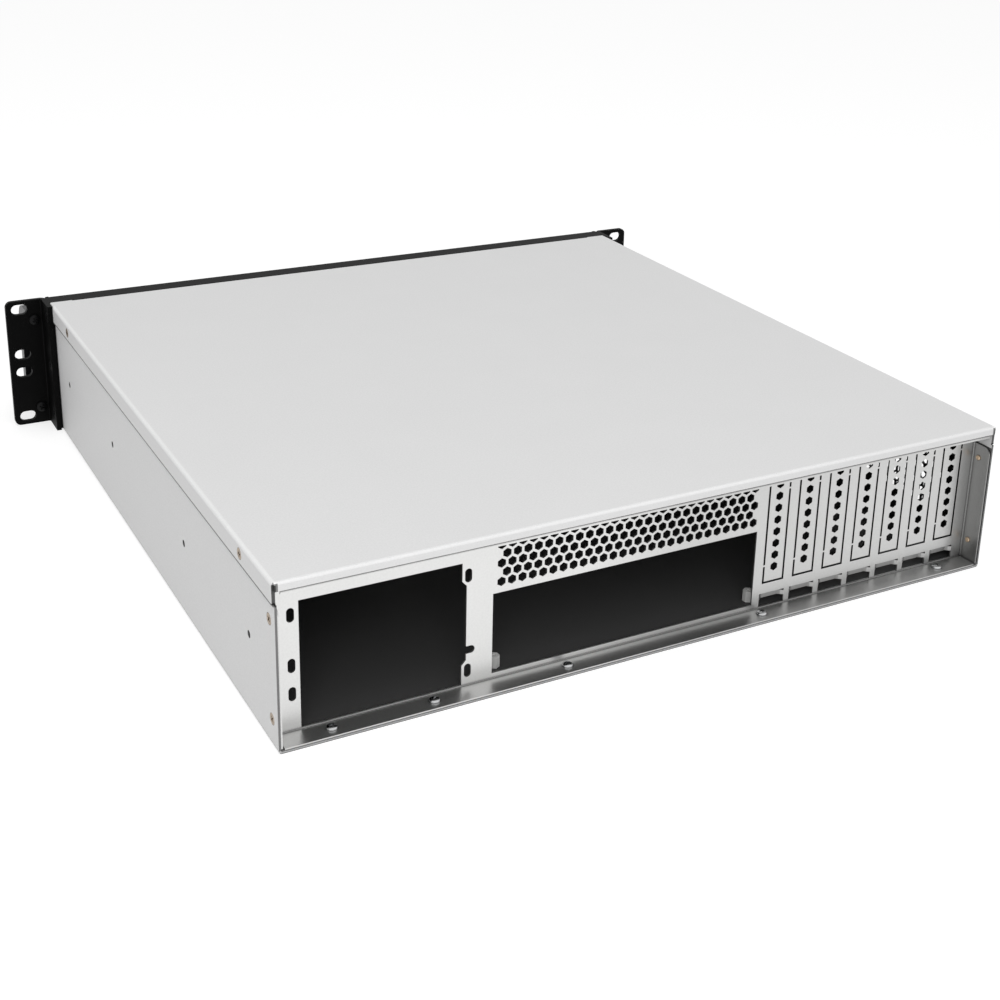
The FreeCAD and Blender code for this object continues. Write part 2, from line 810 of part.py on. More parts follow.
cover.add("YZ_Plane", [Outline(
    (CAP_BACK - cell("tongue_reach"), tongue_base), (CAP_BACK + GAUGE, tongue_base),
    (step_back, TOP_IN), (step_back, TOP), (CAP_BACK + GAUGE, TOP),
    (CAP_BACK + FIT, tongue_top), (CAP_BACK - cell("tongue_reach"), tongue_top),
)], -tongue_side, tongue_side)
top_cover = less("top_cover", cover, [cover_holes])

# Front frame: a channel with the front plate, the cap over the cover and the side flanges
frame = Body("front_frame_sheet")
frame.add("YZ_Plane", [Outline(
    (CAP_BACK, TOP_IN), (CAP_BACK, TOP), (FRONT, TOP, BEND_OUT), (FRONT, GAUGE, BEND_OUT),
    (CAP_BACK, GAUGE), (CAP_BACK, FLOOR_SEAT), (PLATE_BACK, FLOOR_SEAT, BEND_IN),
    (PLATE_BACK, TOP_IN, BEND_IN),
)], -SKIN, SKIN)
for side in SIDES:
    frame.add("XY_Plane", [Outline(
        ((SKIN - BEND_OUT) * side, FRONT), (HALF_WIDTH * side, FRONT, BEND_OUT),
        (HALF_WIDTH * side, SIDE_BACK), (SKIN * side, SIDE_BACK), (SKIN * side, PLATE_BACK, BEND_IN),
        ((SKIN - BEND_OUT) * side, PLATE_BACK),
    )], GAUGE, TOP)
frame.cut("YZ_Plane", [rectangle(CAP_BACK, SIDE_BACK, TOP_IN, TOP)], -HALF_WIDTH, HALF_WIDTH)
for side in SIDES:
    frame.cut("XY_Plane", [rectangle(*on_side(side, FLOOR_SIDE, SKIN), PLATE_BACK, CAP_BACK)],
              GAUGE, FLOOR_SEAT + BEND_IN)
bay_left = CAGE_LEFT + GAUGE
bay_right = CAGE_RIGHT - GAUGE
bay_top = cell("bay_base") + cell("bay_height")
frame.cut("XZ_Plane", [rectangle(bay_left, bay_right, cell("bay_base"), bay_top)], FRONT, PLATE_BACK)


def vent_row(centre_x, centre_z, height, copies):
    """A row of upright vent slots in the front plate."""
    pitch = cell("grille_slot_pitch")
    start = centre_x - pitch * (copies - 1) / 2
    half_wide, half_tall = cell("grille_slot_width") / 2, height / 2
    shape = rectangle(start - half_wide, start + half_wide, centre_z - half_tall, centre_z + half_tall)
    first = frame.cut("XZ_Plane", [shape], FRONT, PLATE_BACK)
    frame.repeat([first], pitch, copies)


vent_row(cell("grille_centre_x"), TOP / 2, cell("grille_slot_height"), cell("grille_slot_count"))
vent_row(cell("cage_centre_x"), cell("low_vent_centre_z"), cell("low_vent_height"), cell("low_vent_count"))
button_gap = cell("button_gap")
control_x = cell("control_centre_x")
lens_places = [(control_x + cell("lens_spacing") / 2 * side, cell("lens_z")) for side in SIDES]
carrier_z = (cell("button_z") + cell("lens_z")) / 2
carrier_screw_spread = cell("carrier_width") / 2 - cell("carrier_wall") - cell("small_head") - FIT
carrier_places = [(control_x + carrier_screw_spread * side, carrier_z) for side in SIDES]
frame.cut("XZ_Plane", [
    Disc(cell("power_x"), cell("button_z"), cell("power_radius") + button_gap),
    Disc(cell("reset_x"), cell("button_z"), cell("reset_radius") + button_gap),
    *holes_for(lens_places, cell("lens_radius")),
    *holes_for(carrier_places, shank),
], FRONT, PLATE_BACK)
front_frame = less("front_frame", frame, [ear_holes])

# Rear panel: the web with its foot and hemmed top, and two side flanges
panel = Body("rear_panel_sheet")
web_side = WALL_IN - GAUGE * 2
foot_back = REAR - cell("panel_foot_inset")
hem_base = LIP_BASE - cell("panel_hem")
panel.add("YZ_Plane", [Outline(
    (PANEL_FRONT, GAUGE, BEND_OUT), (foot_back, GAUGE), (foot_back, FLOOR_SEAT),
    (PANEL_BACK, FLOOR_SEAT, BEND_IN), (PANEL_BACK, LIP_BASE - GAUGE, BEND_IN),
    (foot_back - GAUGE, LIP_BASE - GAUGE), (foot_back - GAUGE, hem_base), (foot_back, hem_base),
    (foot_back, LIP_BASE, BEND_OUT), (PANEL_FRONT, LIP_BASE, BEND_OUT),
)], -web_side, web_side)
flange_in = WALL_IN - GAUGE
for side in SIDES:
    panel.add("XY_Plane", [Outline(
        ((web_side - GAUGE) * side, PANEL_FRONT), (WALL_IN * side, PANEL_FRONT, BEND_OUT),
        (WALL_IN * side, foot_back), (flange_in * side, foot_back),
        (flange_in * side, PANEL_BACK, cell("panel_bend")), ((web_side - GAUGE) * side, PANEL_BACK),
    )], cell("flange_base"), cell("flange_top"))
panel.round_edges(0, [(foot_back, cell("flange_top"))], cell("flange_corner"))

io_right = cell("io_left") - cell("io_width")
psu_outer, psu_inner = cell("psu_outer"), cell("psu_inner")
psu_narrow = psu_inner - cell("psu_step")
panel.cut("XZ_Plane", [
    rectangle(io_right, cell("io_left"), cell("io_base"), cell("io_base") + cell("io_height")),
    Outline(
        (psu_outer, cell("psu_base")), (psu_outer, cell("psu_top")), (psu_inner, cell("psu_top")),
        (psu_inner, cell("psu_step_high")), (psu_narrow, cell("psu_step_high") - cell("psu_step_rise")),
        (psu_narrow, cell("psu_step_low") + cell("psu_step_rise")),
        (psu_inner, cell("psu_step_low")), (psu_inner, cell("psu_base")),
    ),
], PANEL_FRONT, PANEL_BACK)
psu_slots = [(cell("psu_outer_slots_x"), cell(f"psu_slot_{place}_z")) for place in ("top", "mid", "low")]
psu_slots += [(cell("psu_inner_slots_x"), cell(f"psu_inner_slot_{place}_z")) for place in ("top", "low")]
notch_radius = cell("psu_notch_radius")
panel.cut("XZ_Plane", [
    *(slot(x, z, cell("psu_slot_length"), cell("psu_slot_width"), upright=True) for x, z in psu_slots),
    RoundSlot(
        psu_narrow - cell("psu_notch_depth") - notch_radius, psu_inner + notch_radius,
        cell("psu_notch_z") - notch_radius, cell("psu_notch_z") + notch_radius, False,
    ),
], PANEL_FRONT, PANEL_BACK)

# Card slots: knock-out covers held by two small joints, and pockets for the bracket tongues
slit_left = cell("card_cover_left") + cell("card_slit")
cover_left = cell("card_cover_left")
cover_right = cover_left - cell("card_cover_width")
slit_right = cover_right - cell("card_slit")
slit_base = cell("card_cover_base") - cell("card_slit")
slit_top = cell("card_cover_top") + cell("card_slit")
half_joint = cell("card_joint") / 2
joint_low, joint_high = cell("card_joint_low"), cell("card_joint_high")
pocket_left = cell("pocket_left")
pocket_right = pocket_left - cell("pocket_width")
card_cuts = panel.cut("XZ_Plane", [
    Outline(
        (slit_left, joint_low - half_joint), (cover_left, joint_low - half_joint),
        (cover_left, cell("card_cover_base")), (cover_right, cell("card_cover_base")),
        (cover_right, joint_high - half_joint), (slit_right, joint_high - half_joint),
        (slit_right, slit_base), (slit_left, slit_base),
    ),
    Outline(
        (slit_left, joint_low + half_joint), (cover_left, joint_low + half_joint),
        (cover_left, cell("card_cover_top")), (cover_right, cell("card_cover_top")),
        (cover_right, joint_high + half_joint), (slit_right, joint_high + half_joint),
        (slit_right, slit_top), (slit_left, slit_top),
    ),
    rectangle(pocket_right, pocket_left, cell("pocket_base"), cell("pocket_top")),
], PANEL_FRONT, PANEL_BACK)
panel.repeat([card_cuts], -cell("card_pitch"), cell("card_count"))
ramp, depth = cell("strap_ramp"), cell("strap_depth")
strap_top = cell("pocket_top") - cell("strap_gap")
strap = panel.add("XY_Plane", [Outline(
    (pocket_left, PANEL_BACK), (pocket_left - ramp, PANEL_BACK - depth),
    (pocket_right + ramp, PANEL_BACK - depth), (pocket_right, PANEL_BACK),
    (pocket_right, PANEL_FRONT), (pocket_right + ramp, PANEL_FRONT - depth),
    (pocket_left - ramp, PANEL_FRONT - depth), (pocket_left, PANEL_FRONT),
)], strap_top - cell("strap_height"), strap_top)
panel.repeat([strap], -cell("card_pitch"), cell("card_count"))
panel.cut("XY_Plane", holes_for(floor_places, shank), GAUGE, FLOOR_SEAT)
panel_holes = [
    (cell("io_left") - cell("vent_inset") - cell("hex_pitch") * column, cell("vent_base") + hex_rise * up)
    for column, up in staggered(cell("vent_columns"), cell("vent_rows"))
]
panel_holes += [
    (
        (cover_left + cover_right) / 2 - cell("card_pitch") * card,
        cell("card_hex_base") + cell("card_hex_pitch") * up,
    )
    for card in range(int(cell("card_count").value))
    for up in range(int(cell("card_hex_count").value))
]
panel_vents = hex_field("panel_vents", [
    hex_prism(Vector(x.value, PANEL_FRONT.value, z.value), Vector(1, 0, 0), Vector(0, GAUGE.value, 0))
    for x, z in panel_holes
])
rear_panel = less("rear_panel", panel, [panel_vents, rear_holes])

# Drive cage: a channel with slots for the drive screws
cage = Body("drive_cage")
cage_front = PLATE_BACK + FIT
cage_top = GAUGE + cell("cage_height")
cage.add("XZ_Plane", [Outline(
    (CAGE_LEFT, cage_top), (CAGE_LEFT, GAUGE, BEND_OUT), (CAGE_RIGHT, GAUGE, BEND_OUT),
    (CAGE_RIGHT, cage_top), (bay_right, cage_top), (bay_right, FLOOR_SEAT, BEND_IN),
    (bay_left, FLOOR_SEAT, BEND_IN), (bay_left, cage_top),
)], cage_front, CAGE_BACK)
cage.cut("YZ_Plane", [rectangle(cage_front, CAP_BACK + FIT, GAUGE, FLOOR_SEAT + FIT * 2)],
         CAGE_LEFT, CAGE_RIGHT)
drive_slots = [
    slot(y, z, cell("cage_slot_length"), cell("cage_slot_width"))
    for y in (CAP_BACK + cell("drive_slot_front"), CAP_BACK + cell("drive_slot_rear"))
    for z in (cell("drive_slot_low_z"), cell("drive_slot_high_z"))
]
cage.cut("YZ_Plane", drive_slots, CAGE_LEFT, CAGE_RIGHT)
cage.cut("XY_Plane", holes_for(cage_places, shank), GAUGE, FLOOR_SEAT)

# Blank cover of the drive bay, with a tab at each side that springs against the cage
blank = Body("bay_cover")
bay_gap = cell("bay_cover_gap")
blank_front = FRONT - cell("bay_cover_proud")
blank_back = blank_front + cell("bay_cover_thickness")
blank.add("XZ_Plane", [rectangle(
    bay_left + bay_gap, bay_right - bay_gap, cell("bay_base") + bay_gap, bay_top - bay_gap,
    cell("bay_cover_corner"),
)], blank_front, blank_back)
bay_middle = cell("bay_base") + cell("bay_height") / 2
tab_half = cell("bay_tab_height") / 2
tabs = []
for side in SIDES:
    inner = cell("cage_width") / 2 - GAUGE - bay_gap - cell("bay_tab_thickness")
    outer = inner + cell("bay_tab_thickness")
    low, high = on_side(side, inner, outer)
    middle_x = cell("cage_centre_x")
    tabs.append(rectangle(middle_x + low, middle_x + high, bay_middle - tab_half, bay_middle + tab_half))
blank.add("XZ_Plane", tabs, blank_back, blank_back + cell("bay_tab_reach"))

# Fan wall: a cross bracket with three fan openings
fan_wall = Body("fan_wall")
fan_y = cell("fan_wall_y")
fan_top = GAUGE + cell("fan_wall_height")
fan_wall.add("YZ_Plane", [Outline(
    (fan_y, GAUGE, BEND_OUT), (fan_y + cell("fan_wall_foot"), GAUGE),
    (fan_y + cell("fan_wall_foot"), FLOOR_SEAT), (fan_y + GAUGE, FLOOR_SEAT, BEND_IN),
    (fan_y + GAUGE, fan_top), (fan_y, fan_top),
)], fan_wall_left, fan_wall_right)
fan_z = (FLOOR_SEAT + fan_top) / 2
fan_shapes = []
for x, _ in fan_places:
    fan_shapes.append(Disc(x, fan_z, cell("fan_opening_radius")))
    spread = cell("fan_hole_pitch") / 2
    for across in SIDES:
        for up in SIDES:
            fan_shapes.append(Disc(x + spread * across, fan_z + spread * up, cell("fan_hole_radius")))
fan_wall.cut("XZ_Plane", fan_shapes, fan_y, fan_y + GAUGE)
fan_wall.cut("XY_Plane", holes_for(fan_places, shank), GAUGE, FLOOR_SEAT)

# Power supply bracket: a stop for the front end of the supply
psu_bracket = Body("psu_bracket")
bracket_front = cell("psu_bracket_y")
bracket_back = bracket_front + cell("psu_bracket_depth")
bracket_top = GAUGE + cell("psu_bracket_height")
half_bracket = cell("psu_bracket_width") / 2
psu_bracket.add("YZ_Plane", [Outline(
    (bracket_front, GAUGE), (bracket_back, GAUGE, BEND_OUT), (bracket_back, bracket_top),
    (bracket_back - GAUGE, bracket_top), (bracket_back - GAUGE, FLOOR_SEAT, BEND_IN),
    (bracket_front, FLOOR_SEAT),
)], psu_centre - half_bracket, psu_centre + half_bracket)
psu_bracket.cut("XY_Plane", holes_for(psu_places, shank), GAUGE, FLOOR_SEAT)

# Rack ears: thick angle brackets with slotted holes
slot_x = cell("slot_columns") / 2
slot_middle = cell("case_height") / 2
handle_x = cell("handle_centre_x")
handle_rows = [cell("handle_low_z"), cell("handle_low_z") + cell("handle_spacing")]
ears = {}
for side, word in zip(SIDES, ("right", "left")):
    ear = Body(f"ear_{word}_angle")
    outer_bend = cell("ear_gauge") + cell("ear_bend_inner")
    ear.add("XY_Plane", [Outline(
        (HALF_WIDTH * side, FRONT, outer_bend), (cell("rack_width") / 2 * side, FRONT),
        (cell("rack_width") / 2 * side, EAR_BACK), (EAR_FACE * side, EAR_BACK, cell("ear_bend_inner")),
        (EAR_FACE * side, FRONT + cell("ear_return")), (HALF_WIDTH * side, FRONT + cell("ear_return")),
    )], ZERO, TOP)
    rows = [cell("outer_slot_rows") / 2, cell("inner_slot_rows") / 2]
    ear_slots = [
        slot(slot_x * side, slot_middle + row * up, cell("ear_slot_length"), cell("ear_slot_width"))
        for row in rows
        for up in SIDES
    ]
    handle_holes = holes_for([(handle_x * side, z) for z in handle_rows], cell("large_shank"))
    ear.cut("XZ_Plane", ear_slots + handle_holes, FRONT, EAR_BACK)
    corners = [(cell("rack_width") / 2 * side, z) for z in (ZERO, TOP)]
    ear.round_edges(1, corners, cell("ear_corner"))
    ears[f"ear_{word}"] = less(f"ear_{word}", ear, [ear_holes])

# Handles: square bars bent into a U
handles = {}
for side, word in zip(SIDES, ("right", "left")):
    handle = Body(f"handle_{word}")
    bar = cell("handle_bar")
    low, high = handle_rows[0] - bar / 2, handle_rows[1] + bar / 2
    grip = FRONT - cell("handle_reach")
    inner_corner = cell("handle_corner") - bar
    handle.add("YZ_Plane", [Outline(
        (FRONT, low), (FRONT, low + bar), (grip + bar, low + bar, inner_corner),
        (grip + bar, high - bar, inner_corner), (FRONT, high - bar), (FRONT, high),
        (grip, high, cell("handle_corner")), (grip, low, cell("handle_corner")),
    )], *(handle_x * side + bar / 2 * end for end in (-1, 1)))
    bore = cell("handle_screw_length") - cell("ear_gauge") + cell("hole_clearance")
    holes = holes_for([(handle_x * side, z) for z in handle_rows], cell("large_shank"))
    handle.cut("XZ_Plane", holes, FRONT - bore, FRONT)
    handles[f"handle_{word}"] = handle

handle_screws = Body("handle_screws")
screw_places = [(handle_x * side, z) for side in SIDES for z in handle_rows]
handle_screws.add(
    "XZ_Plane", [Disc(x, z, cell("large_head")) for x, z in screw_places],
    EAR_BACK, EAR_BACK + cell("large_head_height"),
)
handle_screws.add(
    "XZ_Plane", [Disc(x, z, cell("large_shank")) for x, z in screw_places],
    EAR_BACK - cell("handle_screw_length"), EAR_BACK,
)

# Front controls: a carrier behind the plate guides the two buttons and holds the lenses
carrier_back = PLATE_BACK + cell("carrier_depth")
board_front = carrier_back - cell("board_thickness")
switch_front = board_front - cell("switch_height")
block_back = PLATE_BACK + cell("carrier_block")
half_carrier = cell("carrier_width") / 2
half_tall = cell("carrier_height") / 2
wall = cell("carrier_wall")
carrier = Body("button_carrier")
carrier.add("XZ_Plane", [rectangle(
    control_x - half_carrier, control_x + half_carrier, carrier_z - half_tall, carrier_z + half_tall, wall,
)], PLATE_BACK, carrier_back)
carrier.cut("XZ_Plane", [rectangle(
    control_x - half_carrier + wall, control_x + half_carrier - wall,
    carrier_z - half_tall + wall, carrier_z + half_tall - wall,
)], block_back, carrier_back)
buttons = {
    "power": (cell("power_x"), cell("power_radius"), cell("power_travel")),
    "reset": (cell("reset_x"), cell("reset_radius"), cell("reset_travel")),
}
collar = cell("collar_width")
collar_front = PLATE_BACK + button_gap
collar_back = collar_front + cell("collar_thickness")
for x, radius, travel in buttons.values():
    carrier.cut("XZ_Plane", [Disc(x, cell("button_z"), radius + collar + button_gap)],
                PLATE_BACK, collar_back + travel + button_gap)
carrier.cut("XZ_Plane", [
    *(Disc(x, cell("button_z"), radius + button_gap) for x, radius, _ in buttons.values()),
    *holes_for(lens_places, cell("lens_radius")),
    *holes_for(carrier_places, shank),
], PLATE_BACK, block_back)


def button(name, x, radius, travel):
    """A push button: a round cap with a collar that keeps it behind the plate."""
    made = Body(name)
    front = FRONT - cell("button_proud")
    edge = cell("button_edge")
    back = switch_front - travel - button_gap
    made.turn(Outline(
        (ZERO, front), (radius - edge, front), (radius, front + edge), (radius, collar_front),
        (radius + collar, collar_front), (radius + collar, collar_back), (radius, collar_back),
        (radius, back), (ZERO, back),
    ), x, cell("button_z"))
    return made


power_button = button("power_button", *buttons["power"])
reset_button = button("reset_button", *buttons["reset"])

lenses = Body("indicator_lenses")
lenses.add("XZ_Plane", [Disc(x, z, cell("lens_radius")) for x, z in lens_places],
           FRONT - cell("lens_proud"), block_back)

board = Body("control_board")
board_gap = wall + FIT
board.add("XZ_Plane", [rectangle(
    control_x - half_carrier + board_gap, control_x + half_carrier - board_gap,
    carrier_z - half_tall + board_gap, carrier_z + half_tall - board_gap,
)], board_front, carrier_back)

switches = Body("panel_switches")
half_switch = cell("switch_size") / 2
switch_low, switch_high = cell("button_z") - half_switch, cell("button_z") + half_switch
switches.add("XZ_Plane", [
    rectangle(x - half_switch, x + half_switch, switch_low, switch_high) for x, _, _ in buttons.values()
], switch_front, board_front)

carrier_screws = Body("button_carrier_screws")
carrier_screws.add("XZ_Plane", [Disc(x, z, cell("small_head")) for x, z in carrier_places],
                   block_back, block_back + cell("small_head_height"))
carrier_screws.add("XZ_Plane", [Disc(x, z, shank) for x, z in carrier_places], FRONT + FIT, block_back)

# Every node of the case, under the name of its file
NODES = {
    "base_tray": base_tray,
    "rear_panel": rear_panel,
    "top_cover": top_cover,
    "front_frame": front_frame,
    **ears,
    **{name: handle.body for name, handle in handles.items()},
    "handle_screws": handle_screws.body,
    "ear_screws": ear_screws,
    "cover_screws": cover_screws,
    "rear_side_screws": rear_side_screws,
    "floor_screws": floor_screws.body,
    "board_standoffs": board_standoffs.body,
    "drive_cage": cage.body,
    "drive_cage_screws": drive_cage_screws.body,
    "bay_cover": blank.body,
    "fan_wall": fan_wall.body,
    "fan_wall_screws": fan_wall_screws.body,
    "psu_bracket": psu_bracket.body,
    "psu_bracket_screws": psu_bracket_screws.body,
    "button_carrier": carrier.body,
    "button_carrier_screws": carrier_screws.body,
    "power_button": power_button.body,
    "reset_button": reset_button.body,
    "indicator_lenses": lenses.body,
    "control_board": board.body,
    "panel_switches": switches.body,
}

document.recompute()
for item in document.Objects:
    for trouble in ("Invalid", "Error"):
        if trouble in item.State:
            raise RuntimeError(f"{item.Name}: {item.State} {item.getStatusString()}")
for name, node in NODES.items():
    if node.Shape.isNull() or not node.Shape.isValid():
        raise RuntimeError(f"{name} has no valid shape")

os.makedirs("parts", exist_ok=True)
for name, node in NODES.items():
    node.Shape.exportStep(f"parts/{name}.step")
    print(f"{name}: {len(node.Shape.Solids)} solids, {node.Shape.Volume:.1f} mm3")
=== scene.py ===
"""Dresses the empty rackmount server case: finishes, screws, camera, light and floor."""

import json
import logging
import math
from dataclasses import dataclass, field, replace
from enum import Enum

import bmesh
import bpy
from mathutils import Matrix, Vector

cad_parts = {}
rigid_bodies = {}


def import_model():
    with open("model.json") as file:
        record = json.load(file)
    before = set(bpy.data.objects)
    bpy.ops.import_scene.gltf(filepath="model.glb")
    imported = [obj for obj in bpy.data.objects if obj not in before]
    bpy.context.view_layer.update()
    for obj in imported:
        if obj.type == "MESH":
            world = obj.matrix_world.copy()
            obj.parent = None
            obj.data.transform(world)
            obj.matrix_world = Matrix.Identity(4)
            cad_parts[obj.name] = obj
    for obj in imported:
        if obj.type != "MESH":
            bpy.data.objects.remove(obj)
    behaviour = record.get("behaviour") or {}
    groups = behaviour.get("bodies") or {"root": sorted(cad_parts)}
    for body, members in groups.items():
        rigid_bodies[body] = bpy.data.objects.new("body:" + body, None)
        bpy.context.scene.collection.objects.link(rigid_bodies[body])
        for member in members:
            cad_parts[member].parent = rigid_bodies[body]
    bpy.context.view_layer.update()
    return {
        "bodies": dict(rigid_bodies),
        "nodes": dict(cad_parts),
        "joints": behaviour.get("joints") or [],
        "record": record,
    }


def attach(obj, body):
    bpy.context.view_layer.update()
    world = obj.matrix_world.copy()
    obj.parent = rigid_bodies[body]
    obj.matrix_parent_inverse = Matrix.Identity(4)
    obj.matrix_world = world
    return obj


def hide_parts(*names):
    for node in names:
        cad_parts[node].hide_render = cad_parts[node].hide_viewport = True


log = logging.getLogger("rack_case")

Colour = tuple[float, float, float]
Place = tuple[float, float, float]
Tree = bpy.types.NodeTree
Socket = bpy.types.NodeSocket

MM = 0.001
WHITE = (1.0, 1.0, 1.0, 1.0)

# Corners nearer than this, in metres, are one corner
MERGE_M = 1e-6
# Solids are put in order by their centres, rounded to this many digits of a metre
ORDER_DIGITS = 5
# Faces that meet at more than this angle keep a sharp edge
SHARP_DEG = 32

# The sRGB curve: the top and the slope of its straight foot, and the curve above the foot
SRGB_FOOT = 0.04045
SRGB_SLOPE = 12.92
SRGB_OFFSET = 0.055
SRGB_POWER = 2.4
FULL_LEVEL = 255

# Most values of a noise lie between these, and it has this many finer layers
NOISE_LOW = 0.3
NOISE_HIGH = 0.7
FINE_LAYERS = 2.0
BROAD_LAYERS = 3.0

# For the painted shade in seams: the part of the open sky that a narrow seam and a nearly flat
# place see, and the rays that find it
SEAM_SHUT = 0.5
SEAM_OPEN = 0.92
SEAM_RAYS = 8

# Sockets that are found by number, because those for other types have the same names
MIX_FACTOR = 1
MIX_FIRST = 4
MIX_SECOND = 5
MIX_RESULT = 1
RANDOM_MOST = 3
RANDOM_VALUE = 1


def linear(hex_colour: str) -> Colour:
    """Turns an sRGB hex colour into the linear colour that a shader takes.

    Args:
        hex_colour: Six hex digits with a leading hash.

    Returns:
        Red, green and blue.
    """
    levels = (level / FULL_LEVEL for level in bytes.fromhex(hex_colour[1:]))
    red, green, blue = (
        level / SRGB_SLOPE
        if level <= SRGB_FOOT
        else ((level + SRGB_OFFSET) / (1 + SRGB_OFFSET)) ** SRGB_POWER
        for level in levels
    )
    return red, green, blue


def add_object(name: str, data: bpy.types.ID) -> bpy.types.Object:
    """Adds an object to the scene.

    Args:
        name: The object's name.
        data: Its mesh, lamp or camera.

    Returns:
        The new object.
    """
    made = bpy.data.objects.new(name, data)
    bpy.context.scene.collection.objects.link(made)
    return made


def bare_tree(owner: bpy.types.ID) -> Tree:
    """Gives a material or world an empty node tree.

    Args:
        owner: The material or world.

    Returns:
        Its tree, with no node in it.
    """
    owner.use_nodes = True
    owner.node_tree.nodes.clear()
    return owner.node_tree


def add_node(
    tree: Tree, kind: str, inputs: dict[str | int, object] | None = None
) -> bpy.types.Node:
    """Adds a node and fills it in.

    Args:
        tree: The node tree of a material, the world or a modifier.
        kind: The node's type name.
        inputs: Sockets to link and values to set, by the input's name or number. A name that
            no input has is a property of the node. Properties come first, because some of
            them change the inputs.

    Returns:
        The new node.
    """
    node = tree.nodes.new(kind)
    for name, value in (inputs or {}).items():
        if isinstance(name, str) and name not in node.inputs:
            setattr(node, name, value)
        elif isinstance(value, Socket):
            tree.links.new(value, node.inputs[name])
        else:
            node.inputs[name].default_value = value
    return node


def vector_math(tree: Tree, operation: str, *parts: object) -> Socket:
    """Adds a Vector Math node.

    Args:
        tree: The node tree that it goes into.
        operation: What it works out.
        parts: Sockets or plain vectors, in the order of its inputs.

    Returns:
        The vector that it gives.
    """
    node = add_node(tree, "ShaderNodeVectorMath", {
        "operation": operation, **dict(enumerate(parts)),
    })
    return node.outputs["Vector"]


@dataclass(frozen=True)
class Zone:
    """A box of the case, in millimetres, where a finish gets painted shade or a painted highlight.

    Its colour is multiplied by the shade, which fades in over the soft border. With both_sides,
    the same box on the other side of the case counts too.
    """

    low: Place
    high: Place
    shade: float
    soft: float = 0.2
    both_sides: bool = True

    def gain(self, tree: Tree, place: Socket) -> Socket:
        """Adds the nodes that find the zone.

        Args:
            tree: The material's node tree.
            place: The coordinates, measured from the case's own origin.

        Returns:
            One outside the zone, changing to its shade within the soft border.
        """
        centre = [(low + high) / 2 * MM for low, high in zip(self.low, self.high)]
        half = [(high - low) / 2 * MM for low, high in zip(self.low, self.high)]
        if self.both_sides:
            place = self.folded(tree, place)
        away = vector_math(tree, "SUBTRACT", place, centre)
        apart = vector_math(tree, "ABSOLUTE", away)
        within = vector_math(tree, "SUBTRACT", half, apart)
        axes = add_node(tree, "ShaderNodeSeparateXYZ", {0: within}).outputs
        depth = axes["X"]
        for axis in "YZ":
            least = add_node(tree, "ShaderNodeMath", {
                "operation": "MINIMUM", 0: depth, 1: axes[axis],
            })
            depth = least.outputs["Value"]
        shade = add_node(tree, "ShaderNodeMapRange", {
            "Value": depth, "From Max": self.soft * MM, "To Min": 1.0, "To Max": self.shade,
        })
        return shade.outputs["Result"]

    @staticmethod
    def folded(tree: Tree, place: Socket) -> Socket:
        """Folds one side of the case onto the other, so that one box finds both.

        Args:
            tree: The material's node tree.
            place: The coordinates before.

        Returns:
            The coordinates, with X never below zero.
        """
        mirrored = vector_math(tree, "ABSOLUTE", place)
        mixed = add_node(tree, "ShaderNodeMix", {
            "data_type": "VECTOR", "factor_mode": "NON_UNIFORM",
            MIX_FACTOR: (1.0, 0.0, 0.0), MIX_FIRST: place, MIX_SECOND: mirrored,
        })
        return mixed.outputs[MIX_RESULT]


# Painted shade inside the case, where little light comes: deep on the tray and cover, lighter on
# other sheets
DEEP_INSIDE_SHADE = Zone((-213.2, -300.0, 0.6), (213.2, 211.7, 87.6), 0.09)
DIM_INSIDE_SHADE = Zone((-213.2, -300.0, 0.6), (213.2, 205.0, 87.6), 0.4)
# Painted shade on the cut edges of the wall's holes, and on its rear edge in the gap beside the
# panel's flange
WALL_EDGE_SHADE = Zone((212.8, -224.0, 3.0), (213.85, 224.9, 75.0), 0.15, soft=0.05)
WALL_END_SHADE = Zone((212.0, 224.6, 1.6), (216.0, 226.0, 90.0), 0.25, soft=0.1)
# The shadow of the cover's skirt on the wall
UNDER_SKIRT = Zone((213.6, -203.0, 75.3), (214.3, 224.0, 78.0), 0.1)
# The panel's far end, which stands in the shadow of its flange
FAR_CORNER = Zone(
    (-300.0, 100.0, -50.0), (-197.0, 300.0, 150.0), 0.68, soft=16.0, both_sides=False
)
# The half of the panel that stands further from the light
FAR_HALF = Zone(
    (-500.0, -100.0, -250.0), (45.0, 500.0, 350.0), 0.8, soft=60.0, both_sides=False
)
# Painted shade, a dark line along the bends of the panel's flanges
FLANGE_BEND_SHADE = Zone((210.6, 212.0, 3.0), (212.0, 213.3, 75.0), 0.6, soft=0.1)
# A painted highlight on the ends of the rear side screws, which stick out in the panel's flanges
SCREW_END_HIGHLIGHT = Zone((206.0, 205.0, 0.0), (212.9, 226.0, 90.0), 2.2)
# Painted shade on the sheared edges of the slits round the card slot covers
SLIT_EDGE_SHADE = Zone(
    (-209.0, 211.22, 15.0), (-66.0, 212.18, 82.0), 0.08, soft=0.03, both_sides=False
)
# Painted shade along the sheared lower edge of the skirt, and in the open corner at its rear end
SKIRT_EDGE_SHADE = Zone((213.0, -203.0, 76.5), (216.0, 224.4, 77.75), 0.2, soft=0.1)
CORNER_GAP_SHADE = Zone((213.0, 222.6, 76.2), (214.8, 226.0, 87.0), 0.12, soft=0.1)
# Painted highlights on the lip and the bends of the cover, which catch the light
LIP_HIGHLIGHT = Zone((-214.0, 223.6, 83.0), (214.0, 226.0, 86.8), 1.08, soft=0.3, both_sides=False)
REAR_BEND_HIGHLIGHT = Zone((-214.0, 222.8, 86.6), (214.0, 226.0, 88.5), 1.12, soft=0.4, both_sides=False)
SIDE_BEND_HIGHLIGHT = Zone((212.8, -203.0, 86.4), (216.0, 226.0, 88.5), 1.12, soft=0.4)
# Painted shade on the straps of the tongue pockets, which stand back from the panel's face
STRAP_SHADE = Zone((-209.0, 203.0, 3.0), (-60.0, 211.15, 16.0), 0.65, soft=0.3, both_sides=False)
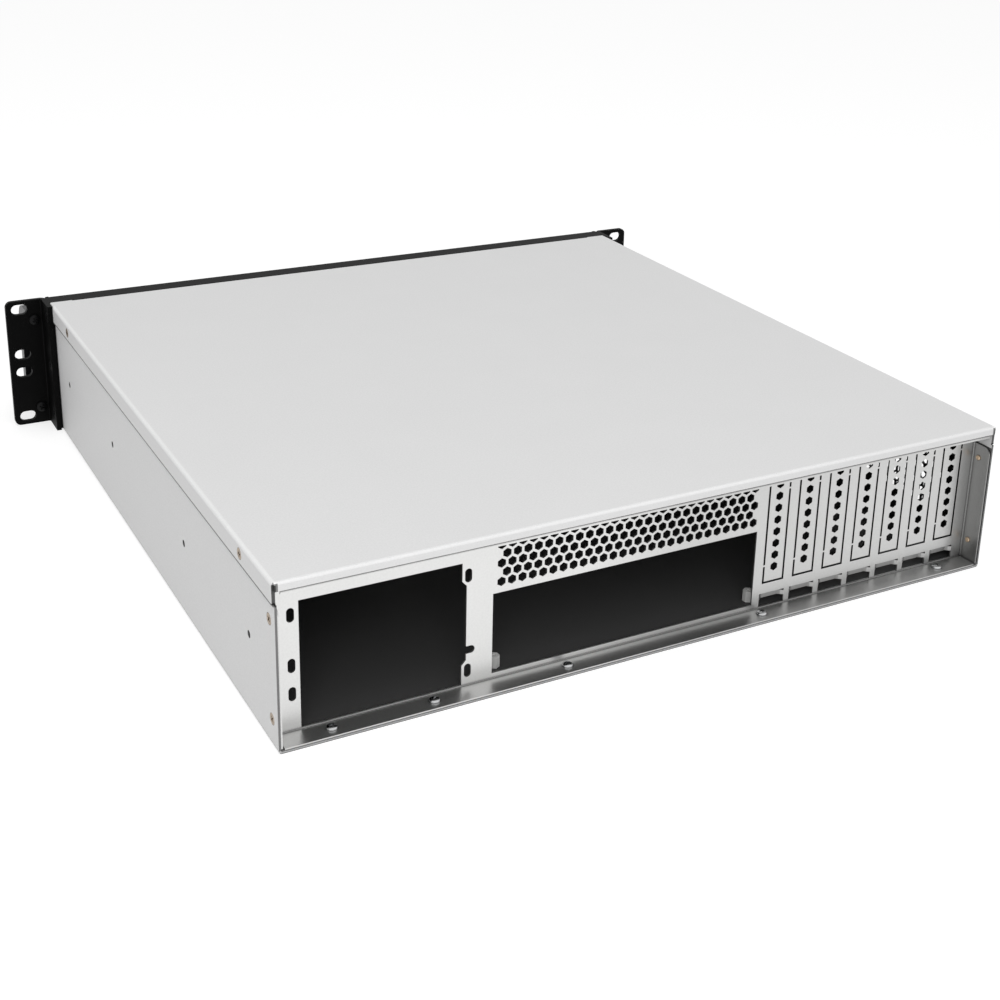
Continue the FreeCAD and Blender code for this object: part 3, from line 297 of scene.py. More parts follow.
# Painted shade, a dark line along the bend of the panel's foot
FOOT_BEND_SHADE = Zone((-211.0, 211.9, 1.9), (211.0, 212.9, 2.6), 0.55, soft=0.1, both_sides=False)


@dataclass(frozen=True)
class Finish:
    """One surface finish, described by what its real material is and how it was made, with the
    painted shade of its seams and the painted shade and highlights of its zones.
    """

    name: str
    colour: str
    metallic: float = 0.0
    roughness: float = 0.5
    roughness_swing: float = 0.0
    specular: float = 0.5
    coat: float = 0.0
    grain_mm: float = 1.0
    grain_contrast: float = 0.0
    mottle_mm: float = 60.0
    mottle_contrast: float = 0.0
    bump_mm: float = 0.0
    bump_scale_mm: float = 1.0
    seam_mm: float = 0.0
    seam_shade: float = 1.0
    zones: tuple[Zone, ...] = ()

    def build(self) -> bpy.types.Material:
        """Makes the material of this finish.

        Returns:
            The material, patterned in Object coordinates.
        """
        material = bpy.data.materials.new(self.name)
        tree = bare_tree(material)
        place = add_node(tree, "ShaderNodeTexCoord").outputs["Object"]
        mottle = self.noise(tree, place, self.mottle_mm, BROAD_LAYERS)
        inputs = {
            "Base Color": self.patterned_colour(tree, place, mottle),
            "Metallic": self.metallic,
            "Roughness": self.roughness,
            "Coat Weight": self.coat,
            "Specular IOR Level": self.specular,
        }
        if self.roughness_swing:
            inputs["Roughness"] = self.patterned_roughness(tree, mottle)
        if self.bump_mm:
            inputs["Normal"] = self.relief(tree, place)
        shader = add_node(tree, "ShaderNodeBsdfPrincipled", inputs)
        add_node(tree, "ShaderNodeOutputMaterial", {"Surface": shader.outputs["BSDF"]})
        return material

    def patterned_colour(self, tree: Tree, place: Socket, mottle: Socket) -> Socket:
        """Gives the colour its grain and mottling, and the painted shade of its seams and the
        painted shade and highlights of its zones.

        Args:
            tree: The material's node tree.
            place: The coordinates that the patterns read.
            mottle: The broad noise.

        Returns:
            The finished colour.
        """
        grain = self.noise(tree, place, self.grain_mm, FINE_LAYERS)
        colour = self.varied(tree, linear(self.colour), grain, self.grain_contrast)
        colour = self.varied(tree, colour, mottle, self.mottle_contrast)
        if self.seam_mm:
            colour = self.shaded_seams(tree, colour)
        for zone in self.zones:
            colour = self.scaled(tree, colour, zone.gain(tree, place))
        return colour

    def patterned_roughness(self, tree: Tree, mottle: Socket) -> Socket:
        """Makes the surface a little smoother and rougher from place to place.

        Args:
            tree: The material's node tree.
            mottle: The broad noise.

        Returns:
            The roughness.
        """
        rough = add_node(tree, "ShaderNodeMapRange", {
            "Value": mottle,
            "To Min": self.roughness - self.roughness_swing,
            "To Max": self.roughness + self.roughness_swing,
        })
        return rough.outputs["Result"]

    def relief(self, tree: Tree, place: Socket) -> Socket:
        """Roughens the surface with small bumps.

        Args:
            tree: The material's node tree.
            place: The coordinates that the bumps read.

        Returns:
            The direction that each spot of the surface faces.
        """
        bump = add_node(tree, "ShaderNodeBump", {
            "Height": self.noise(tree, place, self.bump_scale_mm, FINE_LAYERS),
            "Strength": 1.0,
            "Distance": self.bump_mm * MM,
        })
        return bump.outputs["Normal"]

    def shaded_seams(self, tree: Tree, colour: Socket) -> Socket:
        """Darkens a colour with painted shade in narrow gaps and inside corners.

        Args:
            tree: The material's node tree.
            colour: The colour before it is darkened.

        Returns:
            The darkened colour.
        """
        hollow = add_node(tree, "ShaderNodeAmbientOcclusion", {
            "samples": SEAM_RAYS, "Distance": self.seam_mm * MM,
        })
        gain = add_node(tree, "ShaderNodeMapRange", {
            "Value": hollow.outputs["AO"],
            "From Min": SEAM_SHUT,
            "From Max": SEAM_OPEN,
            "To Min": self.seam_shade,
            "To Max": 1.0,
        })
        return self.scaled(tree, colour, gain.outputs["Result"])

    def varied(
        self, tree: Tree, colour: Socket | Colour, pattern: Socket, contrast: float
    ) -> Socket:
        """Lightens and darkens a colour by a pattern.

        Args:
            tree: The material's node tree.
            colour: The colour before.
            pattern: The pattern, from 0 to 1.
            contrast: The part of the brightness that the pattern takes away and adds.

        Returns:
            The varied colour.
        """
        gain = add_node(tree, "ShaderNodeMapRange", {
            "Value": pattern,
            "From Min": NOISE_LOW,
            "From Max": NOISE_HIGH,
            "To Min": 1.0 - contrast,
            "To Max": 1.0 + contrast,
        })
        return self.scaled(tree, colour, gain.outputs["Result"])

    @staticmethod
    def scaled(tree: Tree, colour: Socket | Colour, gain: Socket) -> Socket:
        """Makes a colour brighter or darker.

        Args:
            tree: The material's node tree.
            colour: The colour before.
            gain: What it is multiplied by.

        Returns:
            The colour after.
        """
        scale = add_node(tree, "ShaderNodeVectorMath", {
            "operation": "SCALE", 0: colour, "Scale": gain,
        })
        return scale.outputs["Vector"]

    @staticmethod
    def noise(tree: Tree, place: Socket, size_mm: float, layers: float) -> Socket:
        """Adds a noise whose lumps have a real size.

        Args:
            tree: The material's node tree.
            place: The coordinates that it reads.
            size_mm: The width of one lump.
            layers: How many finer layers it has.

        Returns:
            The noise value, from 0 to 1.
        """
        texture = add_node(tree, "ShaderNodeTexNoise", {
            "Vector": place, "Scale": 1.0 / (size_mm * MM), "Detail": layers,
        })
        return texture.outputs["Fac"]


class Finishes(Enum):
    """The finishes of the case and its fittings."""

    # Hot-dip zinc sheet with a fine matt spangle: pale grey, faint speckle, soft reflections
    ZINC_SHEET = Finish(
        "zinc_coated_sheet", "#DADAD9", metallic=0.94, roughness=0.36, roughness_swing=0.03,
        grain_mm=1.1, grain_contrast=0.025, mottle_mm=45.0, mottle_contrast=0.01,
        # Painted shade in seams and inside corners, and in zones inside the case, at the panel's
        # far corner and half, along the bends, in the slits and on the straps
        bump_mm=0.006, bump_scale_mm=0.9, seam_mm=2.0, seam_shade=0.3,
        zones=(DIM_INSIDE_SHADE, FAR_CORNER, FAR_HALF, FOOT_BEND_SHADE, FLANGE_BEND_SHADE, SLIT_EDGE_SHADE, STRAP_SHADE),
    )
    # The same sheet where it is rolled matt, on the outside of the case
    MATT_SHEET = Finish(
        "matt_rolled_zinc_sheet", "#DCDCDC", metallic=0.2, roughness=0.55, roughness_swing=0.03,
        grain_mm=0.9, grain_contrast=0.03, mottle_mm=45.0, mottle_contrast=0.008,
        # Painted shade in seams and inside corners, and in zones inside the case, on the wall's cut
        # and rear edges, under and along the skirt and in its rear corner; painted highlights on
        # the lip and the cover's bends
        bump_mm=0.01, bump_scale_mm=0.8, seam_mm=2.5, seam_shade=0.2,
        zones=(
            DEEP_INSIDE_SHADE, WALL_EDGE_SHADE, WALL_END_SHADE, UNDER_SKIRT, SKIRT_EDGE_SHADE, CORNER_GAP_SHADE,
            LIP_HIGHLIGHT, REAR_BEND_HIGHLIGHT, SIDE_BEND_HIGHLIGHT,
        ),
    )
    # Powder coat baked on steel: near black, with a fine orange-peel texture
    POWDER_COAT = Finish(
        "black_powder_coat", "#050505", roughness=0.55, specular=0.07,
        grain_mm=0.8, grain_contrast=0.1, mottle_mm=30.0, mottle_contrast=0.04,
        bump_mm=0.02, bump_scale_mm=0.6,
    )
    # Anodised aluminium bar: satin black with a soft sheen
    HANDLE = Finish(
        "black_anodised_aluminium", "#232325", metallic=0.6, roughness=0.38,
        grain_mm=0.6, grain_contrast=0.06, mottle_mm=25.0, mottle_contrast=0.03,
        bump_mm=0.004, bump_scale_mm=0.4,
    )
    # Black oxide on steel screws: dark and a little oily
    BLACK_SCREW = Finish(
        "black_oxide_steel", "#0C0C0D", metallic=0.3, roughness=0.42, specular=0.2,
        grain_mm=0.3, grain_contrast=0.1, mottle_mm=3.0, mottle_contrast=0.1,
    )
    # Yellow chromate over zinc: warm tan metal
    BRONZE_SCREW = Finish(
        "yellow_chromate_zinc", "#94836F", metallic=0.8, roughness=0.34,
        grain_mm=0.3, grain_contrast=0.08, mottle_mm=2.5, mottle_contrast=0.12,
        # A painted highlight on the ends of the rear side screws
        zones=(SCREW_END_HIGHLIGHT,),
    )
    # Bright zinc plate on the floor screws and on those of the fittings inside
    ZINC_SCREW = Finish(
        "bright_zinc_plate", "#C9CACB", metallic=1.0, roughness=0.24,
        grain_mm=0.3, grain_contrast=0.05, mottle_mm=2.5, mottle_contrast=0.06,
    )
    # Nickel plate on the brass standoffs
    NICKEL = Finish(
        "nickel_plated_brass", "#F4F4F2", metallic=0.3, roughness=0.2,
        grain_mm=0.4, grain_contrast=0.05, mottle_mm=3.0, mottle_contrast=0.04,
    )
    # Moulded ABS with a fine spark-eroded texture
    BLACK_PLASTIC = Finish(
        "moulded_black_abs", "#161617", roughness=0.5, specular=0.2,
        grain_mm=0.5, grain_contrast=0.08, mottle_mm=20.0, mottle_contrast=0.03,
        bump_mm=0.015, bump_scale_mm=0.4,
    )
    # Turned and clear-anodised aluminium caps
    BUTTON_METAL = Finish(
        "turned_aluminium", "#B4B5B8", metallic=1.0, roughness=0.3,
        grain_mm=0.3, grain_contrast=0.05, mottle_mm=4.0, mottle_contrast=0.04,
    )
    # Frosted acrylic light guide
    LENS = Finish(
        "frosted_acrylic", "#D9DED8", roughness=0.25, coat=0.3,
        grain_mm=0.4, grain_contrast=0.02, mottle_mm=2.0, mottle_contrast=0.03,
    )
    # Green solder mask over copper and glass fibre
    CIRCUIT_BOARD = Finish(
        "green_solder_mask", "#1E5A33", roughness=0.35, coat=0.2,
        grain_mm=0.8, grain_contrast=0.12, mottle_mm=6.0, mottle_contrast=0.15,
    )


SLOT_FINISHES = {
    "galvanised_sheet": Finishes.ZINC_SHEET,
    "black_powder_coat": Finishes.POWDER_COAT,
    "black_handle": Finishes.HANDLE,
    "black_screw": Finishes.BLACK_SCREW,
    "bronze_screw": Finishes.BRONZE_SCREW,
    "zinc_screw": Finishes.ZINC_SCREW,
    "black_plastic": Finishes.BLACK_PLASTIC,
    "button_metal": Finishes.BUTTON_METAL,
    "lens_plastic": Finishes.LENS,
    "circuit_board": Finishes.CIRCUIT_BOARD,
}
# Nodes that don't look like the rest of their slot
NODE_FINISHES = {
    "top_cover": Finishes.MATT_SHEET,
    "base_tray": Finishes.MATT_SHEET,
    "board_standoffs": Finishes.NICKEL,
}


class Wardrobe:
    """Makes each finish once and puts it on the CAD nodes."""

    def __init__(self) -> None:
        """Starts with no material made."""
        self.made: dict[Finishes, bpy.types.Material] = {}

    def material(self, finish: Finishes) -> bpy.types.Material:
        """Gives the material of a finish, and makes it the first time.

        Args:
            finish: The finish that is wanted.

        Returns:
            Its material.
        """
        if finish not in self.made:
            self.made[finish] = finish.value.build()
        return self.made[finish]

    def dress(self, frame: dict) -> None:
        """Puts the record's finishes on every CAD node.
        """
        for entry in frame["record"]["subparts"]:
            node = frame["nodes"][entry["node"]]
            finish = NODE_FINISHES.get(entry["node"], SLOT_FINISHES[entry["material_slot"]])
            material = self.material(finish)
            node.data.materials.clear()
            node.data.materials.append(material)
            log.info("dressed %s with %s", entry["node"], material.name)


@dataclass(frozen=True)
class Solid:
    """The box of one separate solid of a CAD node, in metres."""

    low: Vector
    high: Vector

    @property
    def centre(self) -> Vector:
        """The middle of the box."""
        return (self.low + self.high) / 2


def islands_of(shape: bmesh.types.BMesh) -> list[list[bmesh.types.BMVert]]:
    """Sorts the corners of a mesh into the groups that hang together.

    Args:
        shape: The mesh, with its doubles merged.

    Returns:
        The corners of each group.
    """
    waiting = set(shape.verts)
    islands = []
    while waiting:
        front = [waiting.pop()]
        island = list(front)
        while front:
            vertex = front.pop()
            for edge in vertex.link_edges:
                other = edge.other_vert(vertex)
                if other in waiting:
                    waiting.remove(other)
                    front.append(other)
                    island.append(other)
        islands.append(island)
    return islands


def solids_of(node: bpy.types.Object) -> list[Solid]:
    """Finds the separate solids of a CAD node.

    Args:
        node: The node's object.

    Returns:
        One box for each solid, in a steady order.
    """
    shape = bmesh.new()
    shape.from_mesh(node.data)
    bmesh.ops.remove_doubles(shape, verts=shape.verts, dist=MERGE_M)
    found = []
    for island in islands_of(shape):
        places = [vertex.co for vertex in island]
        low = Vector(min(place[axis] for place in places) for axis in range(3))
        high = Vector(max(place[axis] for place in places) for axis in range(3))
        found.append(Solid(low, high))
    shape.free()
    return sorted(
        found, key=lambda solid: tuple(round(value, ORDER_DIGITS) for value in solid.centre)
    )


def lathe(
    name: str, profile: list[tuple[float, float]], facets: int = 40
) -> bpy.types.Object:
    """Turns a closed profile about the Z axis.

    Args:
        name: The name of the new object.
        profile: Radius and height of each corner in millimetres, from one pole to the other.
        facets: How many facets go round.

    Returns:
        The turned object.
    """
    shape = bmesh.new()
    corners = [shape.verts.new((radius * MM, 0.0, height * MM)) for radius, height in profile]
    edges = [shape.edges.new(pair) for pair in zip(corners, corners[1:])]
    bmesh.ops.spin(
        shape, geom=corners + edges, cent=(0, 0, 0), axis=(0, 0, 1), dvec=(0, 0, 0),
        angle=math.tau, steps=facets, use_merge=True,
    )
    bmesh.ops.remove_doubles(shape, verts=shape.verts, dist=MERGE_M)
    bmesh.ops.recalc_face_normals(shape, faces=shape.faces)
    mesh = bpy.data.meshes.new(name)
    shape.to_mesh(mesh)
    shape.free()
    return add_object(name, mesh)


@dataclass(frozen=True)
class ScrewForm:
    """The sizes of one kind of cross-recessed screw, in millimetres.

    A screw with a dome height has a pan head. Any other is sunk, and its head narrows at 45
    degrees to the shank.
    """

    head_radius: float
    shank_radius: float
    length: float
    recess_span: float
    recess_width: float
    recess_depth: float
    dome_height: float = 0.0
    dome_share: float = 0.62
    dome_step_deg: int = 15
    edge: float = 0.12
    tip: float = 0.3

    def profile(self) -> list[tuple[float, float]]:
        """Gives the turned outline, with the top of the head at height zero.

        Returns:
            Radius and height of each corner.
        """
        return [
            *(self.pan_head() if self.dome_height else self.sunk_head()),
            (self.shank_radius, self.tip - self.length),
            (self.shank_radius - self.tip, -self.length),
            (0.0, -self.length),
        ]

    def sunk_head(self) -> list[tuple[float, float]]:
        """Gives the outline of a flat head with a small chamfer and a cone below it.

        Returns:
            Radius and height of each corner.
        """
        rim = self.head_radius
        return [
            (0.0, 0.0),
            (rim - self.edge * 2, 0.0),
            (rim - self.edge, -self.edge),
            (self.shank_radius, self.shank_radius - rim),
        ]

    def pan_head(self) -> list[tuple[float, float]]:
        """Gives the outline of a domed head with a straight rim and a small chamfer below it.

        Returns:
            Radius and height of each corner.
        """
        rim = self.head_radius
        tall = self.dome_height
        angles = [math.radians(angle) for angle in range(0, 91, self.dome_step_deg)]
        return [
            *(
                (rim * math.sin(angle), tall * self.dome_share * (math.cos(angle) - 1))
                for angle in angles
            ),
            (rim, self.edge - tall),
            (rim - self.edge, -tall),
            (self.shank_radius, -tall),
        ]


class CrossRecess:
    """The node tree that cuts a cross recess into a turned blank and sets it at every place."""

    INPUTS = {
        "Blank": "NodeSocketObject",
        "Recess Span": "NodeSocketFloat",
        "Recess Width": "NodeSocketFloat",
        "Recess Depth": "NodeSocketFloat",
        "Turn Seed": "NodeSocketInt",
        "Finish": "NodeSocketMaterial",
    }
    ROOT_CORNERS = 8
    ROOT_RADIUS_MM = 0.6

    def __init__(self) -> None:
        """Builds the tree once, for every group of screws."""
        self.tree = bpy.data.node_groups.new("cross_recess_screws", "GeometryNodeTree")
        self.sockets: dict[str, str] = {}
        self.name_sockets()
        given = add_node(self.tree, "NodeGroupInput")
        placed = add_node(self.tree, "GeometryNodeInstanceOnPoints", {
            "Points": given.outputs["Places"],
            "Instance": self.recessed(given),
            "Rotation": self.rotation(given),
        })
        real = add_node(self.tree, "GeometryNodeRealizeInstances", {
            "Geometry": placed.outputs["Instances"],
        })
        dressed = add_node(self.tree, "GeometryNodeSetMaterial", {
            "Geometry": real.outputs["Geometry"], "Material": given.outputs["Finish"],
        })
        add_node(self.tree, "NodeGroupOutput", {"Screws": dressed.outputs["Geometry"]})

    def name_sockets(self) -> None:
        """Gives the tree its inputs and its output."""
        ports = self.tree.interface
        ports.new_socket("Places", in_out="INPUT", socket_type="NodeSocketGeometry")
        for name, kind in self.INPUTS.items():
            socket = ports.new_socket(name, in_out="INPUT", socket_type=kind)
            self.sockets[name] = socket.identifier
        ports.new_socket("Screws", in_out="OUTPUT", socket_type="NodeSocketGeometry")

    def recessed(self, given: bpy.types.Node) -> Socket:
        """Cuts the two arms and the conical root of the recess into the blank.

        Args:
            given: The node with the tree's inputs.

        Returns:
            The mesh of one screw.
        """
        width = given.outputs["Recess Width"]
        depth = given.outputs["Recess Depth"]
        cutters = []
        for long_axis in "XY":
            sizes = {"X": width, "Y": width, "Z": depth, long_axis: given.outputs["Recess Span"]}
            box = add_node(self.tree, "ShaderNodeCombineXYZ", sizes)
            arm = add_node(self.tree, "GeometryNodeMeshCube", {"Size": box.outputs["Vector"]})
            cutters.append(arm.outputs["Mesh"])
        root = add_node(self.tree, "GeometryNodeMeshCone", {
            "Vertices": self.ROOT_CORNERS,
            "Radius Top": self.ROOT_RADIUS_MM * MM,
            "Radius Bottom": width,
            "Depth": depth,
        })
        cutters.append(root.outputs["Mesh"])
        blank = add_node(self.tree, "GeometryNodeObjectInfo", {"Object": given.outputs["Blank"]})
        solid = blank.outputs["Geometry"]
        for cutter in cutters:
            cut = add_node(self.tree, "GeometryNodeMeshBoolean", {
                "operation": "DIFFERENCE", "solver": "EXACT", 0: solid, 1: cutter,
            })
            solid = cut.outputs["Mesh"]
        return solid

    def rotation(self, given: bpy.types.Node) -> Socket:
        """Faces each screw its own way, with its recess turned at random.

        Args:
            given: The node with the tree's inputs.

        Returns:
            The rotation at each place.
        """
        direction = add_node(self.tree, "GeometryNodeInputNamedAttribute", {
            "data_type": "FLOAT_VECTOR", "Name": "direction",
        })
        upright = add_node(self.tree, "FunctionNodeAlignRotationToVector", {
            "axis": "Z", "Vector": direction.outputs["Attribute"],
        })
        angle = add_node(self.tree, "FunctionNodeRandomValue", {
            "data_type": "FLOAT", RANDOM_MOST: math.pi, "Seed": given.outputs["Turn Seed"],
        })
        about = add_node(self.tree, "FunctionNodeAxisAngleToRotation", {
            "Axis": (0.0, 0.0, 1.0), "Angle": angle.outputs[RANDOM_VALUE],
        })
        turned = add_node(self.tree, "FunctionNodeRotateRotation", {
            "rotation_space": "LOCAL",
            "Rotation": upright.outputs["Rotation"],
            "Rotate By": about.outputs["Rotation"],
        })
        return turned.outputs["Rotation"]

    def make(
        self,
        name: str,
        places: list[tuple[Vector, Vector]],
        form: ScrewForm,
        material: bpy.types.Material,
        seed: int,
    ) -> bpy.types.Object:
        """Makes one group of screws as a plain mesh.

        Args:
            name: The piece's name.
            places: The top of each head and the way that it faces.
            form: The screw's sizes.
            material: Its finish.
            seed: What the random turns of the recesses start from.

        Returns:
            The piece, with its place in its mesh.
        """
        blank = lathe(f"{name}_blank", form.profile())
        points = bpy.data.meshes.new(f"{name}_places")
        points.from_pydata([tuple(place) for place, _ in places], [], [])
        facing = points.attributes.new("direction", "FLOAT_VECTOR", "POINT")
        for number, (_, way) in enumerate(places):
            facing.data[number].vector = way
        holder = add_object(f"{name}_holder", points)
        modifier = holder.modifiers.new("screws", "NODES")
        modifier.node_group = self.tree
        # The cutters are centred on the top of the head, so they are twice as tall as the recess
        values = {
            "Blank": blank,
            "Recess Span": form.recess_span * MM,
            "Recess Width": form.recess_width * MM,
            "Recess Depth": form.recess_depth * MM * 2,
            "Turn Seed": seed,
            "Finish": material,
        }
        for title, value in values.items():
            modifier[self.sockets[title]] = value
        return plain_mesh(name, holder, [blank])


def plain_mesh(
    name: str, holder: bpy.types.Object, helpers: list[bpy.types.Object]
) -> bpy.types.Object:
    """Turns an object with a node tree into a plain mesh and clears what made it.

    Args:
        name: The new piece's name.
        holder: The object that carries the modifier.
        helpers: Other objects that the tree read.

    Returns:
        The plain piece.
    """
    graph = bpy.context.evaluated_depsgraph_get()
    mesh = bpy.data.meshes.new_from_object(holder.evaluated_get(graph))
    mesh.name = name
    mesh.shade_smooth()
    mesh.set_sharp_from_angle(angle=math.radians(SHARP_DEG))
    made = add_object(name, mesh)
    for spare in [holder, *helpers]:
        bpy.data.objects.remove(spare)
    return made


class Facing(Enum):
    """Which way the heads of a group of screws face. OUT is to the nearer side of the case."""

    UP = (0.0, 0.0, 1.0)
    BACK = (0.0, 1.0, 0.0)
    OUT = None


@dataclass(frozen=True)
class ScrewGroup:
    """One CAD node of like screws, and what stands for it."""

    node: str
    facing: Facing
    form: ScrewForm

    def places(self, node: bpy.types.Object) -> list[tuple[Vector, Vector]]:
        """Finds the top of each head on the node's solids.

        Args:
            node: The node's object.

        Returns:
            Each place with the way that the head faces.
        """
        found = []
        for solid in solids_of(node):
            centre = solid.centre
            if self.facing is Facing.OUT:
                way = Vector((math.copysign(1.0, centre.x), 0.0, 0.0))
            else:
                way = Vector(self.facing.value)
            halves = (solid.high - solid.low) / 2
            reach = sum(half * abs(part) for half, part in zip(halves, way))
            found.append((centre + way * reach, way))
        return found


@dataclass
class Fastenings:
    """All the screws of the case."""

    recess: CrossRecess = field(default_factory=CrossRecess)
    small_sunk: ScrewForm = ScrewForm(
        head_radius=3.0, shank_radius=1.5, length=6.0,
        recess_span=3.2, recess_width=0.75, recess_depth=1.2,
    )
    short_sunk: ScrewForm = replace(small_sunk, length=2.8)
    large_sunk: ScrewForm = ScrewForm(
        head_radius=3.8, shank_radius=2.0, length=9.0,
        recess_span=4.2, recess_width=0.9, recess_depth=1.5,
    )
    small_pan: ScrewForm = ScrewForm(
        head_radius=2.8, shank_radius=1.5, length=3.7,
        recess_span=2.9, recess_width=0.7, recess_depth=1.1, dome_height=1.8,
    )
    carrier_pan: ScrewForm = replace(small_pan, length=10.7)
    handle_pan: ScrewForm = ScrewForm(
        head_radius=3.6, shank_radius=2.0, length=14.4,
        recess_span=3.8, recess_width=0.9, recess_depth=1.4, dome_height=2.4,
    )

    def groups(self) -> list[ScrewGroup]:
        """Lists every group of screws.

        Returns:
            The groups, in the order that their seeds follow.
        """
        return [
            ScrewGroup("cover_screws", Facing.OUT, self.small_sunk),
            ScrewGroup("rear_side_screws", Facing.OUT, self.short_sunk),
            ScrewGroup("ear_screws", Facing.OUT, self.large_sunk),
            ScrewGroup("handle_screws", Facing.BACK, self.handle_pan),
            ScrewGroup("floor_screws", Facing.UP, self.small_pan),
            ScrewGroup("drive_cage_screws", Facing.UP, self.small_pan),
            ScrewGroup("fan_wall_screws", Facing.UP, self.small_pan),
            ScrewGroup("psu_bracket_screws", Facing.UP, self.small_pan),
            ScrewGroup("button_carrier_screws", Facing.BACK, self.carrier_pan),
        ]

    def build(self, frame: dict, wardrobe: Wardrobe) -> None:
        """Makes the screws in place of the plain CAD ones.

        Args:
            wardrobe: Where the finishes come from.
        """
        slots = {entry["node"]: entry["material_slot"] for entry in frame["record"]["subparts"]}
        for seed, group in enumerate(self.groups(), start=1):
            slot = slots[group.node]
            places = group.places(frame["nodes"][group.node])
            material = wardrobe.material(SLOT_FINISHES[slot])
            piece = self.recess.make(f"{group.node}_recessed", places, group.form, material, seed)
            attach(piece, "case")
            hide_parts(group.node)
            log.info("made %s: %d screws", piece.name, len(places))


@dataclass(frozen=True)
class Softbox:
    """A square lamp with soft shadows, in metres and watts."""

    name: str
    place: Place
    aim: Place
    side: float
    power: float

    def hang(self) -> None:
        """Hangs the lamp, turned to what it lights and kept out of reflections."""
        data = bpy.data.lights.new(self.name, "AREA")
        data.shape = "SQUARE"
        data.size = self.side
        data.energy = self.power
        lamp = add_object(self.name, data)
        lamp.location = self.place
        lamp.visible_glossy = False
        towards = Vector(self.aim) - Vector(self.place)
        lamp.rotation_euler = towards.to_track_quat("-Z", "Y").to_euler()


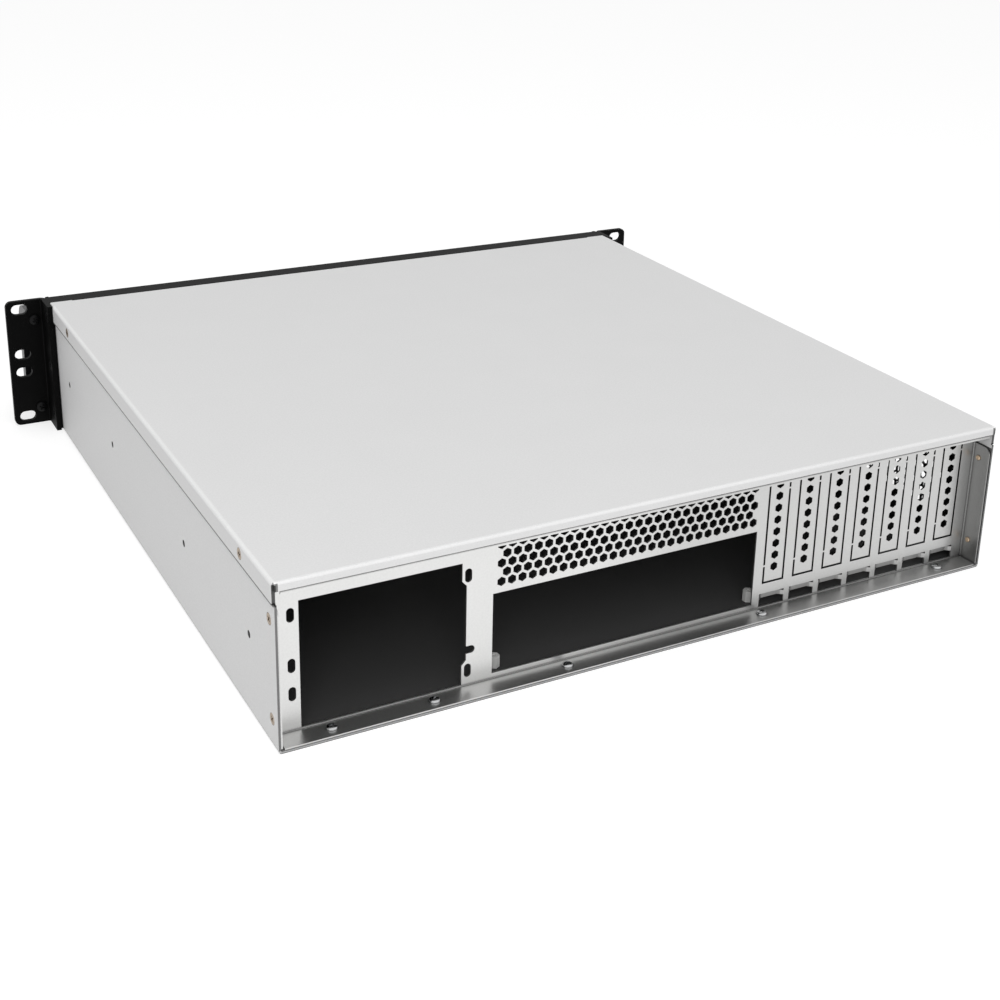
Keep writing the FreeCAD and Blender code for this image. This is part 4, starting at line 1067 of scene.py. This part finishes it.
@dataclass
class Studio:
    """The camera that stands where the photographer stood, the lights and the floor."""

    camera_mm: Place = (416.48, 821.52, 422.73)
    yaw_deg: float = 209.52
    pitch_deg: float = 19.68
    roll_deg: float = -1.8
    focal_px: float = 1579.8
    centre_px: tuple[float, float] = (548.4, 350.0)
    frame_px: float = 1000.0
    sensor_mm: float = 36.0
    near_m: float = 0.01
    far_m: float = 50.0
    floor_half_m: float = 3.0
    floor_colour: str = "#C0C0C0"
    floor_glow: float = 0.62
    floor_sheen: float = 0.7
    diffuse_light: float = 0.62
    mirrored_light: float = 1.0
    lamps: tuple[Softbox, ...] = (
        Softbox("overhead_softbox", (0.3, 0.6, 1.8), (0.0, 0.0, 0.0), side=1.6, power=8.0),
        Softbox("rear_softbox", (0.6, 1.3, 0.8), (0.1, 0.4, 0.0), side=0.8, power=8.0),
    )

    def camera(self) -> bpy.types.Object:
        """Makes the camera.

        Returns:
            The camera object, set as the scene's camera.
        """
        data = bpy.data.cameras.new("photo_camera")
        data.sensor_fit = "HORIZONTAL"
        data.sensor_width = self.sensor_mm
        data.lens = self.focal_px / self.frame_px * self.sensor_mm
        data.shift_x = (self.frame_px / 2 - self.centre_px[0]) / self.frame_px
        data.shift_y = (self.centre_px[1] - self.frame_px / 2) / self.frame_px
        data.clip_start = self.near_m
        data.clip_end = self.far_m
        camera = add_object("photo_camera", data)
        place = Matrix.Translation(Vector(self.camera_mm) * MM)
        camera.matrix_world = place @ self.camera_turn().to_4x4()
        bpy.context.scene.camera = camera
        return camera

    def camera_turn(self) -> Matrix:
        """Works out which way the camera looks.

        Returns:
            The camera's rotation, whose columns are its right, its up and what is behind it.
        """
        yaw, pitch, roll = map(math.radians, (self.yaw_deg, self.pitch_deg, self.roll_deg))
        level = math.cos(pitch)
        ahead = Vector((math.sin(yaw) * level, math.cos(yaw) * level, -math.sin(pitch)))
        right = Vector((math.cos(yaw), -math.sin(yaw), 0.0))
        down = ahead.cross(right)
        rolled_right = right * math.cos(roll) + down * math.sin(roll)
        rolled_down = down * math.cos(roll) - right * math.sin(roll)
        return Matrix((rolled_right, -rolled_down, -ahead)).transposed()

    def floor(self) -> bpy.types.Object:
        """Makes the plain pale floor, which looks white to the camera and in reflections.

        Returns:
            The floor object.
        """
        mesh = bpy.data.meshes.new("studio_floor")
        shape = bmesh.new()
        bmesh.ops.create_grid(shape, x_segments=1, y_segments=1, size=self.floor_half_m)
        shape.to_mesh(mesh)
        shape.free()
        floor = add_object("studio_floor", mesh)
        mesh.materials.append(self.paper())
        return floor

    def paper(self) -> bpy.types.Material:
        """Makes the floor's white paper.

        Returns:
            The material, which keeps shadows and glows to the camera and in reflections.
        """
        material = bpy.data.materials.new("white_paper_floor")
        tree = bare_tree(material)
        paper = add_node(tree, "ShaderNodeBsdfDiffuse", {
            "Color": (*linear(self.floor_colour), 1.0),
        })
        path = add_node(tree, "ShaderNodeLightPath")
        seen = add_node(tree, "ShaderNodeMath", {
            "operation": "MULTIPLY", 0: path.outputs["Is Camera Ray"], 1: self.floor_glow,
        })
        strength = add_node(tree, "ShaderNodeMath", {
            "operation": "MULTIPLY_ADD",
            0: path.outputs["Is Glossy Ray"],
            1: self.floor_sheen,
            2: seen.outputs["Value"],
        })
        glow = add_node(tree, "ShaderNodeEmission", {
            "Color": WHITE, "Strength": strength.outputs["Value"],
        })
        both = add_node(tree, "ShaderNodeAddShader", {
            0: paper.outputs["BSDF"], 1: glow.outputs["Emission"],
        })
        add_node(tree, "ShaderNodeOutputMaterial", {"Surface": both.outputs["Shader"]})
        return material

    def world(self) -> None:
        """Makes a soft surround that is pure white to the camera."""
        world = bpy.data.worlds.new("soft_studio")
        tree = bare_tree(world)
        path = add_node(tree, "ShaderNodeLightPath").outputs
        seen = add_node(tree, "ShaderNodeMath", {
            "operation": "MAXIMUM", 0: path["Is Camera Ray"], 1: path["Is Transmission Ray"],
        })
        lit = add_node(tree, "ShaderNodeMapRange", {
            "Value": path["Is Glossy Ray"],
            "To Min": self.diffuse_light,
            "To Max": self.mirrored_light,
        })
        strength = add_node(tree, "ShaderNodeMapRange", {
            "Value": seen.outputs["Value"], "To Min": lit.outputs["Result"], "To Max": 1.0,
        })
        back = add_node(tree, "ShaderNodeBackground", {
            "Color": WHITE, "Strength": strength.outputs["Result"],
        })
        add_node(tree, "ShaderNodeOutputWorld", {"Surface": back.outputs["Background"]})
        bpy.context.scene.world = world

    def build(self) -> None:
        """Sets up the whole studio."""
        bpy.context.scene.view_settings.view_transform = "Standard"
        self.world()
        for lamp in self.lamps:
            lamp.hang()
        self.floor()
        self.camera()
        log.info("studio is ready")


def main() -> None:
    """Loads the frame, dresses it and sets up the studio."""
    logging.basicConfig(level=logging.INFO, format="%(name)s: %(message)s")
    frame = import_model()
    wardrobe = Wardrobe()
    wardrobe.dress(frame)
    Fastenings().build(frame, wardrobe)
    Studio().build()


if __name__ == "__main__":
    main()
